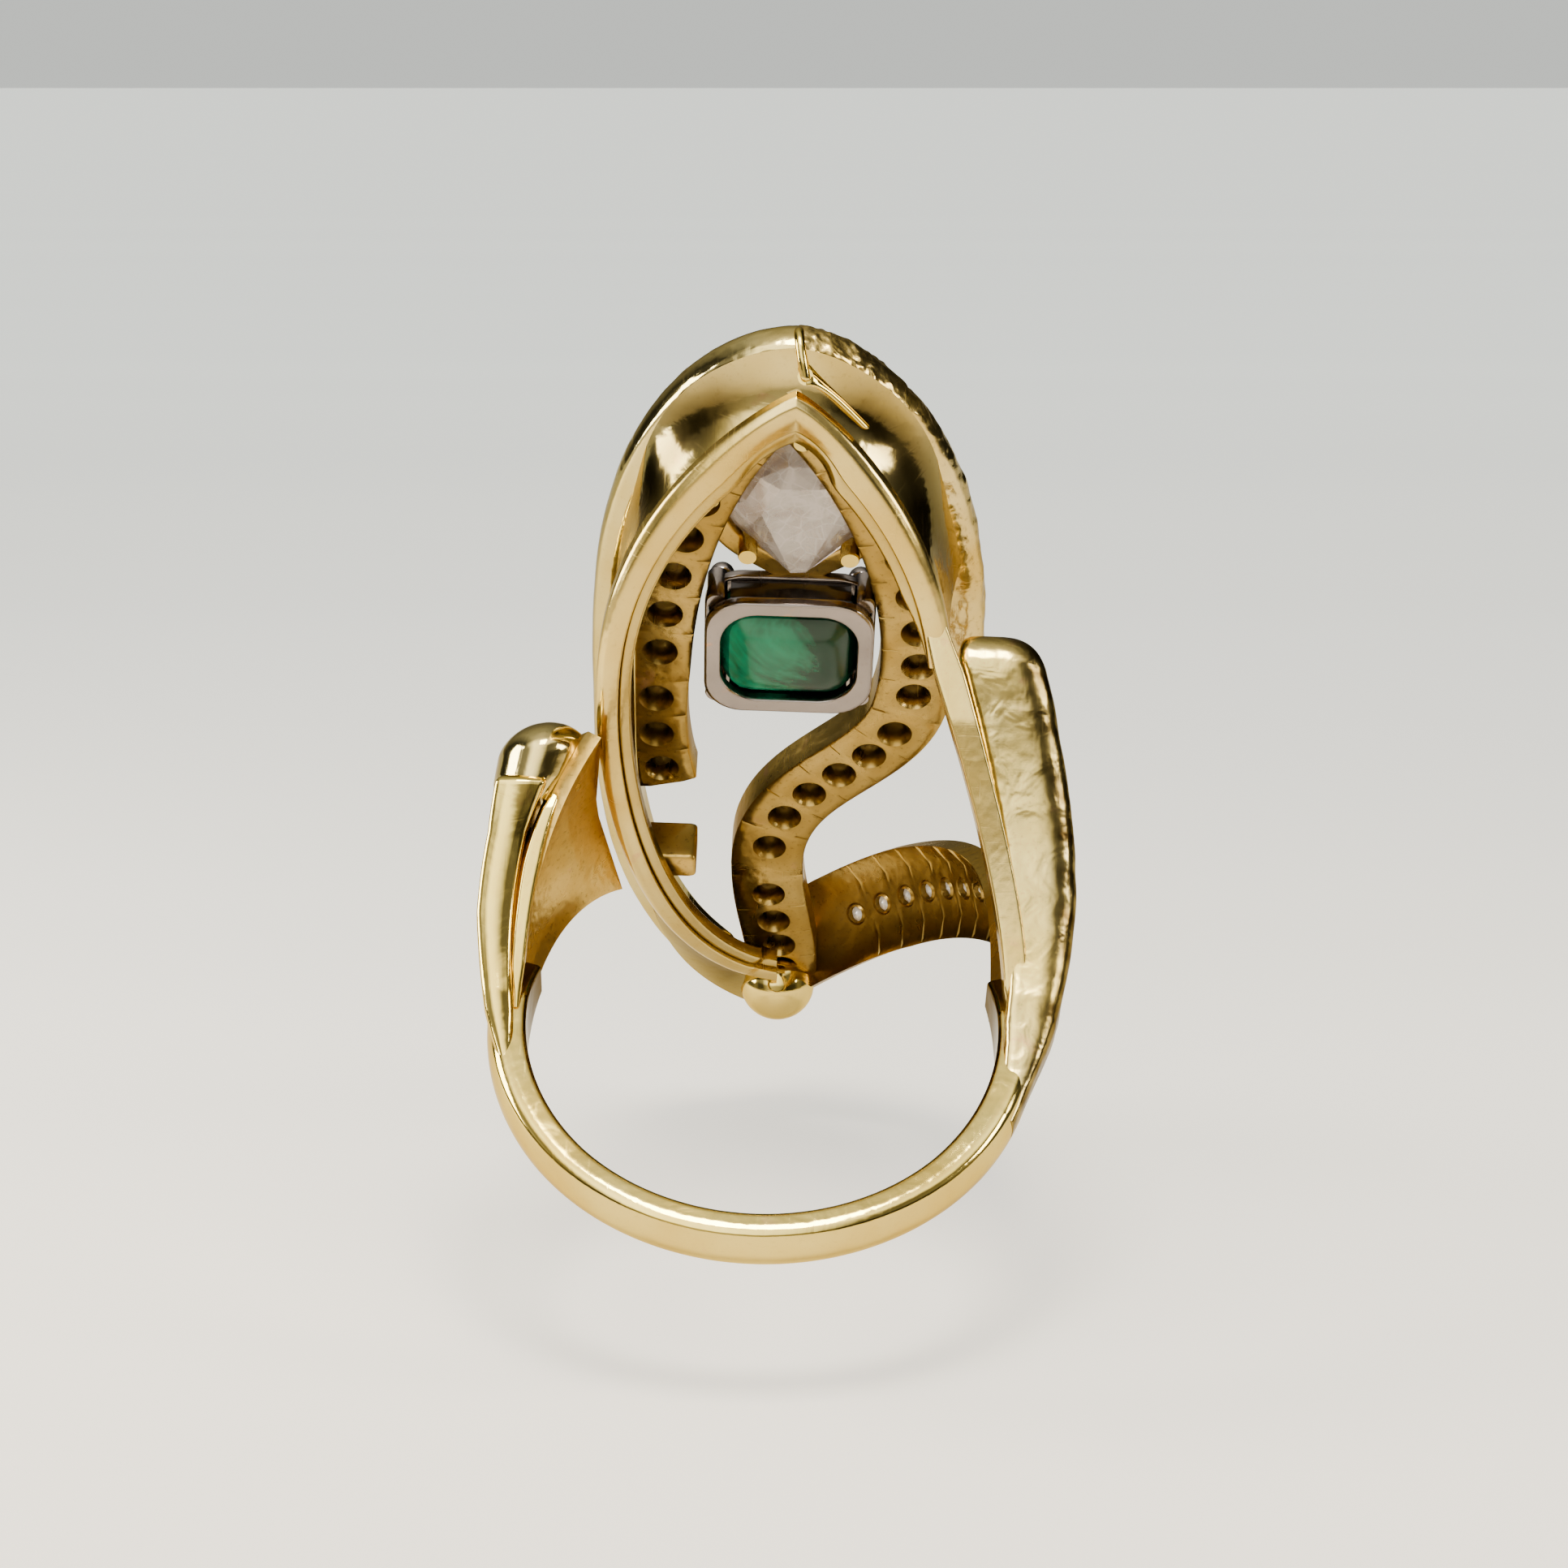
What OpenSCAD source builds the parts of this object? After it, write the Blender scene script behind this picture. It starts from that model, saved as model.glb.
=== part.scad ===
// Cocktail ring: a hoop with two leaning shoulder horns that carries a long
// pointed-oval head. The origin is the centre of the finger hole, +Y runs along
// the finger, +Z runs up through the head.

/* [Hoop] */
// Radius of the finger hole
bore_r = 8.6; // [8.4:0.1:8.8]
// Radial thickness of the hoop at its sides
hoop_t = 1.8; // [1.6:0.1:2]
// Radial thickness of the hoop at its lowest point
hoop_bottom_t = 1.15; // [1:0.05:1.4]
// Half width of the hoop at its lowest point
hoop_hw = 0.95; // [0.9:0.05:1.3]
// Half width of the hoop where the shoulders begin
hoop_top_hw = 1.9; // [1.7:0.1:2]
// Height at which the plain hoop ends and the shoulders take over
hoop_top = 2.4; // [2:0.1:2.6]

/* [Head] */
// Height of the underside of the head frame above the finger axis
frame_z = 15.8; // [15.6:0.1:16]
// Height of the frame's own section
frame_h = 1.9; // [1.7:0.1:2.1]
// Width of the frame's own section
frame_w = 1.8; // [1.5:0.1:2]
// Half width of the head across the finger
head_hw = 7.75; // [7.5:0.05:8]
// Half length of the head along the finger
head_hl = 18.4; // [18:0.1:18.6]

/* [Gallery] */
// Height of the gallery rail half way along the head
rail_z = 9.3; // [9:0.1:9.6]
// Height of the gallery rail at the two tips
rail_tip_z = 14.6; // [14.2:0.1:15]
// Half width of the rail's outline
rail_hw = 6.65; // [6.4:0.05:6.8]
// Half length of the rail's outline
rail_hl = 16.05; // [15.8:0.05:16.3]

/* [Stones] */
// Width of the green cushion-cut centre stone, across the finger
emerald_w = 5.9; // [5.7:0.1:6]
// Length of the green stone along the finger
emerald_l = 5.1; // [4.9:0.1:5.2]
// Length of the pear-cut white stone
pear_l = 7.4; // [7:0.1:7.6]
// Width of the pear-cut white stone
pear_w = 6.8; // [6.6:0.1:7]
// Diameter of the small round stones
pave_d = 1.5; // [1.3:0.1:1.6]

/* [Hidden] */
$fn = 48;

head_c = [0.45, -1.1];     // centre of the frame's outline
rail_c = [0, -1.85];        // centre of the rail's outline
rail_wide = -0.29;          // fraction of the half length at which the rail is widest
rail_shift = 0.45;          // how far both of the rail's tips lie to the right of its centre
deck_z = 16.0;              // underside of the stone-set ribbons
deck_h = 1.7;               // thickness of the ribbons
emerald_c = [0.5, -4.4];   // centre of the green stone
pear_c = [0.75, -11.05];     // centre of the white stone
yellow_gold = [0.83, 0.70, 0.42];
white_gold = [0.80, 0.79, 0.77];
clear_stone = [0.90, 0.88, 0.90];
green_stone = [0.10, 0.55, 0.40];

// ---- curves -------------------------------------------------------------
// Point of a cubic Bezier curve with the four control points c at t from 0 to 1
function bez(c, t) = pow(1 - t, 3)*c[0] + 3*t*pow(1 - t, 2)*c[1] + 3*t*t*(1 - t)*c[2] + t*t*t*c[3];

// Unit vector along v
function unit(v) = v/norm(v);

// Half width of a pointed oval at the fraction t of its half length
function oval_hw(hw, t, n, e) = hw*pow(max(0, 1 - pow(abs(t), n)), e);

// Half width of the frame at the fraction t, fuller towards the near tip and on the left
function head_hw_at(t, side) = t < 0 ? oval_hw(head_hw, t, 3, side < 0 ? 0.54 : 0.62)
    : oval_hw(head_hw, t, 2.7, 0.65);

// Half width of the rail at the fraction t, leaner towards the far tip
function rail_hw_at(t) = t < rail_wide ? oval_hw(rail_hw, (rail_wide - t)/(1 + rail_wide), 2.6, 0.85)
    : oval_hw(rail_hw, (t - rail_wide)/(1 - rail_wide), 1.7, 0.8);

// Plan points of one side of the frame's outline, from fraction a to b of a
// quarter turn each way; side is -1 for left and 1 for right
function frame_side(side, a, b, n) = [for (i = [0:n]) let (t = sin(a + (b - a)*i/n))
    [head_c[0] + side*head_hw_at(t, side), head_c[1] + head_hl*t]];

// The same for the rail's outline
function rail_side(side, a, b, n) = [for (i = [0:n]) let (t = sin(a + (b - a)*i/n))
    [rail_c[0] + rail_shift*pow(abs(t), 6) + side*rail_hw_at(t), rail_c[1] + rail_hl*t]];

// Height of the rail's lower edge at y: low in the middle, high at both tips
function rail_height(y) = rail_z + (rail_tip_z - rail_z)*pow(abs(y - rail_c[1])/rail_hl, 2);

// Horizontal unit normals of a plan path, to the right of its direction
function normals(p) = [for (i = [0:len(p) - 1])
    let (d = p[min(i + 1, len(p) - 1)] - p[max(i - 1, 0)]) unit([d[1], -d[0]])];

// The same, turned step by step into the line of the finger near both tips, so that the two
// sides of an outline meet there without crossing; s is 1 or -1 for the side of the path,
// c and l the outline's centre and half length along the finger, and reach the turn's length
function tip_normals(p, s, c, l, reach) = let (n = normals(p)) [for (i = [0:len(p) - 1])
    let (e = (p[i][1] - c)/l, k = min(1, (1 - abs(e))*l/reach), q = k*k*(3 - 2*k))
    unit(s*n[i]*q + [0, -sign(e)]*(1 - q))];

// m points of a rounded rectangle-like section with half sizes a and b
function squircle(a, b, m, k) = [for (i = [0:m - 1]) let (c = cos(360*i/m), s = sin(360*i/m))
    [a*sign(c)*pow(abs(c), k), b*sign(s)*pow(abs(s), k)]];

// ---- solids from rings --------------------------------------------------
// Six times the signed volume of a list of triangles
function volume6(p, f, i = 0, sum = 0) = i == len(f) ? sum
    : volume6(p, f, i + 1, sum + cross(p[f[i][0]], p[f[i][1]])*p[f[i][2]]);

// Triangles that close a ring of m points by zigzagging between its two halves
function zigzag_cap(m) = [for (i = [0:m - 3])
    let (z = [for (k = [i, i + 1, i + 2]) k%2 == 0 ? k/2 : m - (k + 1)/2])
    i%2 == 0 ? [z[0], z[2], z[1]] : z];

// Closed solid through a list of rings of equal length
module skin(rings) {
    n = len(rings);
    m = len(rings[0]);
    points = [for (r = rings) each r];
    sides = [for (i = [0:n - 2], j = [0:m - 1])
        let (a = i*m + j, b = i*m + (j + 1)%m)
        each [[a, b + m, b], [a, a + m, b + m]]];
    first = zigzag_cap(m);
    last = [for (f = first) [f[0], f[2], f[1]] + [1, 1, 1]*(n - 1)*m];
    faces = concat(sides, first, last);
    turned = [for (f = faces) [f[0], f[2], f[1]]];
    polyhedron(points, volume6(points, faces) < 0 ? faces : turned, convexity = 8);
}

// Section carried along a plan path at a height of its own at each point.
// sec(i) holds [inward, up] pairs, and n the inward directions.
module plan_sweep(path, n, heights, sec) skin([for (i = [0:len(path) - 1]) [for (q = sec(i))
    [path[i][0] + n[i][0]*q[0], path[i][1] + n[i][1]*q[0], heights[i] + q[1]]]]);

// Oval bar along a Bezier curve c, with half thickness hx across the finger and
// half width hb in the plane of the curve, both given as lookup tables, and with
// a round end of length cap past the last point
module horn(c, hx, hb, cap, k) {
    steps = 14;
    round_steps = 6;
    tip_dir = unit(c[3] - c[2]);
    body = [for (i = [0:steps]) let (t = i/steps) [bez(c, t), bez(c, t + 0.01) - bez(c, t - 0.01),
        lookup(t, hx), lookup(t, hb)]];
    end = [for (i = [1:round_steps]) let (a = 88*i/round_steps)
        [c[3] + tip_dir*cap*sin(a), tip_dir, lookup(1, hx)*cos(a), lookup(1, hb)*cos(a)]];
    skin([for (s = concat(body, end)) let (b = unit([0, s[1][2], -s[1][1]]))
        [for (q = squircle(s[2], s[3], 16, k)) s[0] + [q[0], 0, 0] + b*q[1]]]);
}

// ---- hoop and shoulders ---------------------------------------------------
// Domed hoop with a true bore, thinner and narrower at the bottom than at the shoulders
module shank_hoop() color(yellow_gold) {
    dome_r = 2.6;
    outer_r = bore_r + (hoop_t + hoop_bottom_t)/2;
    rise = (hoop_t - hoop_bottom_t)/2;
    reach = outer_r + 1;
    difference() {
        intersection() {
            translate([0, 0, rise]) rotate([90, 0, 0]) rotate_extrude($fn = 96) intersection() {
                translate([bore_r - 1, -hoop_top_hw]) square([hoop_t + 2, 2*hoop_top_hw]);
                translate([outer_r - dome_r, 0]) circle(dome_r);
            }
            translate([-reach, 0, 0]) rotate([90, 0, 90]) linear_extrude(2*reach)
                polygon([[-hoop_hw, -reach], [hoop_hw, -reach], [hoop_hw, -6], [hoop_top_hw, hoop_top],
                         [-hoop_top_hw, hoop_top], [-hoop_hw, -6]]);
        }
        rotate([90, 0, 0]) cylinder(h = 10, r = bore_r, center = true, $fn = 96);
    }
}

left_horn_curve = [[-9.55, 0, 0], [-10.0, 0, 3.0], [-9.9, -1.9, 5.8], [-9.15, -3.7, 8.4]];
module left_horn() color(yellow_gold)
    horn(left_horn_curve, [[0, 0.7], [0.5, 0.6], [1, 0.8]], [[0, 1.5], [0.5, 2.1], [1, 2.7]], 0.6, 0.7);

// Rounded end of the left horn
module left_horn_cap() color(yellow_gold) {
    c = [[-9.0, -3.3, 7.9], [-8.9, -3.6, 8.4], [-8.75, -3.9, 8.9], [-8.6, -4.3, 9.5]];
    horn(c, [[0, 1.2], [0.5, 1.7], [1, 1.8]], [[0, 2.6], [1, 2.7]], 1.5, 0.8);
}

// Thin saddle plate from the hoop to the rail; its hollow side faces the finger
module left_web() color(yellow_gold) {
    near = [[-8.95, -1.4, 1.6], [-8.9, -3.2, 4.0], [-8.2, -5.2, 6.2], [-6.5, -6.3, 9.0]];
    far = [[-8.95, 1.4, 1.6], [-8.9, 1.8, 5.0], [-7.8, 2.4, 8.6], [-5.9, 3.6, 10.4]];
    rows = 12;
    cols = 8;
    wall = 0.6;
    bulge = 0.9;
    skin([for (i = [0:rows]) let (s = i/rows) [for (j = [0:2*cols + 1])
        let (outer = j > cols, c = outer ? (2*cols + 1 - j)/cols : j/cols,
             p = bez(near, s)*(1 - c) + bez(far, s)*c,
             out = bulge*sin(180*c)*sin(180*min(s, 0.8)) + (outer ? wall : 0))
        p + [-0.85*out, 0, 0.53*out*s]]]);
}

right_horn_curve = [[9.8, 0, -0.5], [10.75, 0.1, 3.4], [10.2, -3.4, 7.4], [8.5, -7.3, 12.0]];
module right_horn() color(yellow_gold)
    horn(right_horn_curve, [[0, 0.85], [0.4, 1.35], [1, 1.6]], [[0, 1.7], [0.5, 2.0], [1, 2.5]], 1.4, 0.75);

// Flat strip that climbs from the hoop's near edge to the rail's near right side
module right_arm() color(yellow_gold) {
    c = [[9.3, -1.3, 1.2], [9.35, -2.6, 3.6], [7.9, -6.2, 7.0], [6.45, -9.2, 10.3]];
    horn(c, [[0, 0.45], [1, 0.42]], [[0, 0.6], [1, 0.75]], 0.3, 0.5);
}

// ---- gallery --------------------------------------------------------------
// The rail's open path: right side, round the near tip, down the left side to the far tip
rail_path = concat(rail_side(1, -27, -89, 9), rail_side(-1, -90, 90, 30));
rail_heights = [for (p = rail_path) rail_height(p[1])];
near_end = [for (p = rail_path) pow(max(0, rail_c[1] - p[1])/rail_hl, 4)];
band_w = 0.85;      // width of the rail's band along its sides
band_more = 0.5;    // how much wider the band is at the near tip
wire_w = 0.45;      // width of the inner wire along its sides
wire_more = 0.35;   // how much wider the wire is at the near tip

rail_in = tip_normals(rail_path, 1, rail_c[1], rail_hl, 2.4);

// Stepped lower rail, wider at its near tip than along its sides
module gallery_rail() color(yellow_gold)
    plan_sweep(rail_path, rail_in, rail_heights, function(i) let (w = band_w + band_more*near_end[i])
        [[0, 0.15], [0.15, 0], [w, 0], [w + 0.05, 0.9], [0, 0.9]]);

// Thin inner wire of the rail, set a step higher
module rail_step() color(yellow_gold)
    plan_sweep(rail_path, rail_in, rail_heights, function(i)
        let (w = band_w + band_more*near_end[i], e = w + wire_w + wire_more*near_end[i])
        [[w, 0.28], [e, 0.34], [e, 1.0], [w, 1.0]]);

// How far the frame overhangs the wall at the fraction t: nothing at the tips
function overhang(t) = let (k = min(1, max(0, (0.93 - abs(t))/0.38))) 0.8*k*k*(3 - 2*k);

// Wall between the rail and the frame, which leans out like a prow at the near tip
module gallery_wall() color(yellow_gold) {
    top = [for (q = concat([for (i = [0:9]) [1, -27 - 62*i/9]], [for (i = [0:30]) [-1, -90 + 6*i]]))
        let (t = sin(q[1]))
        [head_c[0] + q[0]*(head_hw_at(t, q[0]) - overhang(t)), head_c[1] + (head_hl - 0.15)*t]];
    wall = 0.7;
    nb = rail_in;
    nt = tip_normals(top, 1, head_c[1], head_hl, 2.4);
    skin([for (i = [0:len(top) - 1]) let (b = rail_path[i], zb = rail_heights[i] + 0.8)
        [[b[0], b[1], zb],
         [b[0] + wall*nb[i][0], b[1] + wall*nb[i][1], zb],
         [top[i][0] + wall*nt[i][0], top[i][1] + wall*nt[i][1], frame_z + 0.1],
         [top[i][0], top[i][1], frame_z + 0.1]]]);
}

// Section of the frame: flat inside and below, rounded outside
frame_sec = [[0, 0.5], [0.25, 0.12], [0.7, 0], [frame_w, 0], [frame_w, frame_h - 0.3],
             [frame_w - 0.4, frame_h], [0.5, frame_h], [0.12, frame_h - 0.35]];

// One half of the frame, from fraction a to b of a quarter turn each way
module frame_half(side, a, b, n) {
    path = frame_side(side, a, b, n);
    plan_sweep(path, tip_normals(path, -side, head_c[1], head_hl, 2.4), [for (p = path) frame_z],
               function(i) frame_sec);
}
module frame_left() color(yellow_gold) frame_half(-1, -90, 90, 34);
module frame_right() color(yellow_gold) frame_half(1, -90, -8, 16);

// Small forked strip at the near tip, right of the ridge
module tip_fork() color(yellow_gold) {
    c = [[0.75, -18.6, 15.3], [1.2, -18.3, 15.5], [1.9, -17.7, 15.3], [2.9, -16.7, 15.0]];
    horn(c, [[0, 0.3], [1, 0.2]], [[0, 0.35], [1, 0.2]], 0.2, 0.8);
}

// Short block that ties the left rail to the left ribbon
module left_bracket() color(yellow_gold)
    translate([-5.0, 2.6, 11.2]) cube([2.1, 1.2, 2.0]);

// Rounded joint where the rail, the frame, the S ribbon and the strap meet at the far tip
module far_tip_joint() color(yellow_gold)
    translate([0.5, 15.7, 16.0]) scale([1.6, 1.5, 1.6]) sphere(1, $fn = 32);

// ---- stone-set ribbons ----------------------------------------------------
s_curve_a = [[1.0, -16.2], [4.9, -11.5], [6.3, -5.0], [5.3, -1.0]];
s_curve_b = [[5.3, -1.0], [4.3, 2.6], [-0.4, 3.2], [-0.1, 8.6]];
s_curve_c = [[-0.1, 8.6], [0.0, 11.5], [0.9, 13.5], [0.6, 15.6]];
l_curve_a = [[-0.4, -16.2], [-3.2, -13.0], [-4.4, -8.0], [-4.6, -3.0]];
l_curve_b = [[-4.6, -3.0], [-4.8, -1.0], [-4.8, 1.5], [-4.3, 3.4]];
strap_curve = [[9.5, 0.6, 1.6], [11.0, 3.4, 10.5], [9.2, 8.2, 18.4], [0.5, 15.2, 17.3]];

// Plan points along a chain of curves, with no point twice
function chain(curves, n) = [for (k = [0:len(curves) - 1], i = [k == 0 ? 0 : 1:n]) bez(curves[k], i/n)];

// Outline of a ribbon of half width h round a path
function ribbon_outline(path, h) = let (n = normals(path))
    concat([for (i = [0:len(path) - 1]) path[i] + h*n[i]],
           [for (i = [len(path) - 1:-1:0]) path[i] - h*n[i]]);

s_path = chain([s_curve_a, s_curve_b, s_curve_c], 12);
l_path = chain([l_curve_a, l_curve_b], 12);
s_seats = [for (c = [s_curve_a, s_curve_b, s_curve_c]) each
    let (count = c == s_curve_a ? 8 : c == s_curve_b ? 6 : 4)
    [for (i = [0:count - 1]) bez(c, (i + 0.7)/(count + 0.4))]];
l_seats = [for (c = [l_curve_a, l_curve_b]) each let (count = c == l_curve_a ? 7 : 3)
    [for (i = [0:count - 1]) bez(c, (i + 0.8)/(count + 0.3))]];
strap_seats = [for (i = [0:8]) let (t = 0.42 + 0.055*i) [bez(strap_curve, t), strap_normal(t)]];

// Flat ribbon with a drilled opening behind each stone
module drilled_ribbon(path, seats, h) {
    difference() {
        translate([0, 0, deck_z]) linear_extrude(deck_h) polygon(ribbon_outline(path, h));
        for (p = seats) translate([p[0], p[1], deck_z - 1]) cylinder(h = 3, r = 0.36, $fn = 24);
        for (p = seats) translate([p[0], p[1], deck_z + deck_h - 0.45])
            cylinder(h = 1, r = pave_d/2, $fn = 24);
    }
}

// Round stone with its point down and its girdle at height zero
module small_stone() {
    r = pave_d/2 - 0.02;
    rotate_extrude($fn = 24)
        polygon([[0, -0.5], [0.3, -0.42], [r, -0.02], [r, 0.03], [0.42, 0.24], [0, 0.24]]);
}

// Pairs of bead positions at both sides of the gaps between neighbouring stones
function bead_spots(seats, h) = [for (i = [0:len(seats) - 2]) let (d = seats[i + 1] - seats[i],
    m = (seats[i] + seats[i + 1])/2, n = unit([d[1], -d[0]])) each [m + h*n, m - h*n]];

module s_ribbon() color(yellow_gold) drilled_ribbon(s_path, s_seats, 1.5);
module left_ribbon() color(yellow_gold) drilled_ribbon(l_path, l_seats, 1.25);
module flat_stones(seats) for (p = seats) translate([p[0], p[1], deck_z + deck_h - 0.03]) small_stone();
module s_ribbon_stones() color(clear_stone) flat_stones(s_seats);
module left_ribbon_stones() color(clear_stone) flat_stones(l_seats);
module flat_beads(seats) for (p = bead_spots(seats, 0.62))
    translate([p[0], p[1], deck_z + deck_h]) sphere(0.24, $fn = 16);
module s_ribbon_beads() color(yellow_gold) flat_beads(s_seats);
module left_ribbon_beads() color(yellow_gold) flat_beads(l_seats);

// Direction in which the strap's stones face at t
function strap_normal(t) = let (d = unit(bez(strap_curve, t + 0.01) - bez(strap_curve, t - 0.01)),
    side = unit(cross(d, [0, 0, 1]))) unit(side + 0.9*cross(side, d));

// Hollow-backed strap that sweeps from the right of the hoop to the far tip
module far_right_strap() color(yellow_gold) {
    steps = 22;
    skin([for (i = [0:steps]) let (t = i/steps, p = bez(strap_curve, t), n = strap_normal(t),
        d = unit(bez(strap_curve, t + 0.01) - bez(strap_curve, t - 0.01)), b = cross(n, d),
        w = lookup(t, [[0, 1.0], [0.35, 1.8], [0.75, 2.1], [1, 2.0]]))
        [for (q = [[-0.95, -0.5], [-1, 0], [-0.75, 0.4], [0, 0.5], [0.75, 0.4], [1, 0], [0.95, -0.5],
                   [0.7, -0.45], [0.5, 0], [0, 0.1], [-0.5, 0], [-0.7, -0.45]])
            p + b*w*q[0] + n*q[1]]]);
}

module strap_stones() color(clear_stone)
    for (s = strap_seats) translate(s[0] + 0.58*s[1])
        rotate([0, acos(s[1][2]), atan2(s[1][1], s[1][0])]) small_stone();

module strap_beads() color(yellow_gold)
    for (i = [0:len(strap_seats) - 2]) let (a = strap_seats[i], b = strap_seats[i + 1],
        m = (a[0] + b[0])/2, n = unit(a[1] + b[1]), w = unit(cross(n, b[0] - a[0])))
        for (s = [-1, 1]) translate(m + 0.55*n + s*0.62*w) sphere(0.24, $fn = 16);

// ---- green stone and its white-gold basket ----------------------------------
// Rectangle with round corners of radius r, grown by g all round from the size of the stone
module cushion(g, r) {
    x = emerald_w/2 + g - r;
    y = emerald_l/2 + g - r;
    hull() for (i = [-1, 1], j = [-1, 1]) translate([i*x, j*y]) circle(r, $fn = 32);
}

basket_z = 15.4;        // underside of the base rim
basket_top_z = 16.9;    // top of the walls
base_h = 0.5;
claw_h = 2.3;
module at_emerald(z) translate([emerald_c[0], emerald_c[1], z]) children();

// Rim of height h between the outlines grown by outer and by inner
module cushion_rim(outer, inner, h) linear_extrude(h) difference() {
    cushion(outer, 1.3);
    cushion(inner, 1.0);
}

module basket_base_rim() color(white_gold) at_emerald(basket_z) cushion_rim(0.35, -0.3, base_h);
module basket_walls() color(white_gold) at_emerald(basket_z + base_h) difference() {
    cushion_rim(0.25, -0.1, basket_top_z - basket_z - base_h);
    for (i = [-1, 1], j = [-1, 1]) translate([i*emerald_w/2, j*emerald_l/2, 1])
        cube([1.3, 1.3, 5], center = true);
}
module basket_top_rim() color(white_gold) at_emerald(basket_top_z) cushion_rim(0.4, -0.1, 0.45);
module basket_claws() color(white_gold) at_emerald(basket_z + base_h)
    for (i = [-1, 1], j = [-1, 1]) translate([i*(emerald_w/2 - 0.1), j*(emerald_l/2 - 0.1), 0]) {
        cylinder(h = claw_h - base_h, r = 0.42, $fn = 24);
        translate([-0.15*i, -0.15*j, claw_h - base_h]) sphere(0.5, $fn = 20);
    }

// Step-cut cushion: a deep broad pavilion below the girdle, a low crown with a wide table
module emerald() color(green_stone) at_emerald(0) {
    girdle = basket_top_z + 0.5;
    steps = [[girdle - 2.2, -1.9], [girdle - 1.85, -0.8], [girdle - 1.3, -0.42], [girdle, 0],
             [girdle + 0.2, 0], [girdle + 0.7, -0.55], [girdle + 0.95, -1.1]];
    for (i = [0:len(steps) - 2]) hull() for (k = [0, 1])
        translate([0, 0, steps[i + k][0]]) linear_extrude(0.02)
            cushion(steps[i + k][1], 1.3 + steps[i + k][1]*0.6);
}

// ---- white pear-cut stone ---------------------------------------------------
// Pear outline with its point towards the green stone, grown by g all round
module pear(g) hull() {
    translate([0, pear_w/2 - pear_l/2]) circle(pear_w/2 + g, $fn = 32);
    translate([0, pear_l/2 - 0.35]) circle(0.35 + g, $fn = 32);
}
pear_girdle = 18.0;
module at_pear(z) translate([pear_c[0], pear_c[1], z]) children();
module pear_seat() color(yellow_gold) at_pear(pear_girdle - 0.9) linear_extrude(0.8) difference() {
    pear(0.55);
    pear(-0.35);
}
module pear_stone() color(clear_stone) at_pear(0) {
    steps = [[pear_girdle - 1.9, -1.9], [pear_girdle - 1.2, -0.75], [pear_girdle, 0],
             [pear_girdle + 0.15, 0], [pear_girdle + 0.8, -1.0]];
    for (i = [0:len(steps) - 2]) hull() for (k = [0, 1])
        translate([0, 0, steps[i + k][0]]) linear_extrude(0.02) pear(steps[i + k][1]);
}
module pear_claws() color(yellow_gold) at_pear(deck_z)
    for (p = [[0, -pear_l/2 - 0.1], [-3.4, -0.9], [3.4, -0.9], [-1.95, 1.9], [1.95, 1.9]])
        translate([p[0], p[1], 0]) {
            cylinder(h = 2.2, r = 0.38, $fn = 24);
            translate([0, 0, 2.2]) sphere(0.48, $fn = 20);
        }

shank_hoop();
left_horn();
left_horn_cap();
left_web();
right_horn();
right_arm();
gallery_rail();
rail_step();
gallery_wall();
frame_left();
frame_right();
tip_fork();
left_bracket();
far_right_strap();
far_tip_joint();
s_ribbon();
left_ribbon();
s_ribbon_stones();
left_ribbon_stones();
strap_stones();
s_ribbon_beads();
left_ribbon_beads();
strap_beads();
basket_base_rim();
basket_walls();
basket_top_rim();
basket_claws();
emerald();
pear_seat();
pear_stone();
pear_claws();
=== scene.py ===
import math

import bmesh
import bpy
import numpy as np
from mathutils import Matrix


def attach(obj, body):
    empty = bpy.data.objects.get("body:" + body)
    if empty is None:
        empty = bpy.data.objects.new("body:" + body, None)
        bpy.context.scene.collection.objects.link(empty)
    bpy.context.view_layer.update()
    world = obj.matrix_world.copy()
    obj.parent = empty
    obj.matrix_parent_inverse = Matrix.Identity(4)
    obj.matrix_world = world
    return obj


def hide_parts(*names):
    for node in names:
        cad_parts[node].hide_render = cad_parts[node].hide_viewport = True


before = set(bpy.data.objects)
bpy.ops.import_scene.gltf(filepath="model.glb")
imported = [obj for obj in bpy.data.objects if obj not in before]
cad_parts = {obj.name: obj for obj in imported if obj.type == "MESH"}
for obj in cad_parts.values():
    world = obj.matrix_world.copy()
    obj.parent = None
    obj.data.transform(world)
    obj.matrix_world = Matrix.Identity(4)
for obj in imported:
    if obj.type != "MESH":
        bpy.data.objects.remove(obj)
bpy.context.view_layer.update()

# All sizes below are in millimetres in the ring's own frame: the origin is the centre of the
# finger hole, +Y runs along the finger and +Z up through the head. solid() scales to metres.
MM = 0.001
BORE_R = 8.6
FRAME_Z, FRAME_H, FRAME_W = 15.8, 1.9, 1.8
DECK_Z, DECK_H = 16.0, 1.7
HEAD_C, HEAD_HW, HEAD_HL = np.array([0.45, -1.1]), 7.75, 18.4
RAIL_C, RAIL_HW, RAIL_HL, RAIL_WIDE = np.array([0.0, -1.85]), 6.65, 16.05, -0.29
RAIL_Z, RAIL_TIP_Z = 9.3, 14.6
HOOP_TOP, HOOP_BOTTOM, HOOP_DOME = 1.8, 1.15, 2.6
RAIL_W, RAIL_GAIN, WIRE_W, WIRE_GAIN = 0.85, 0.5, 0.45, 0.35
TIP_REACH, TIP_SHIFT, WALL_T = 2.4, 0.45, 0.7


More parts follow.
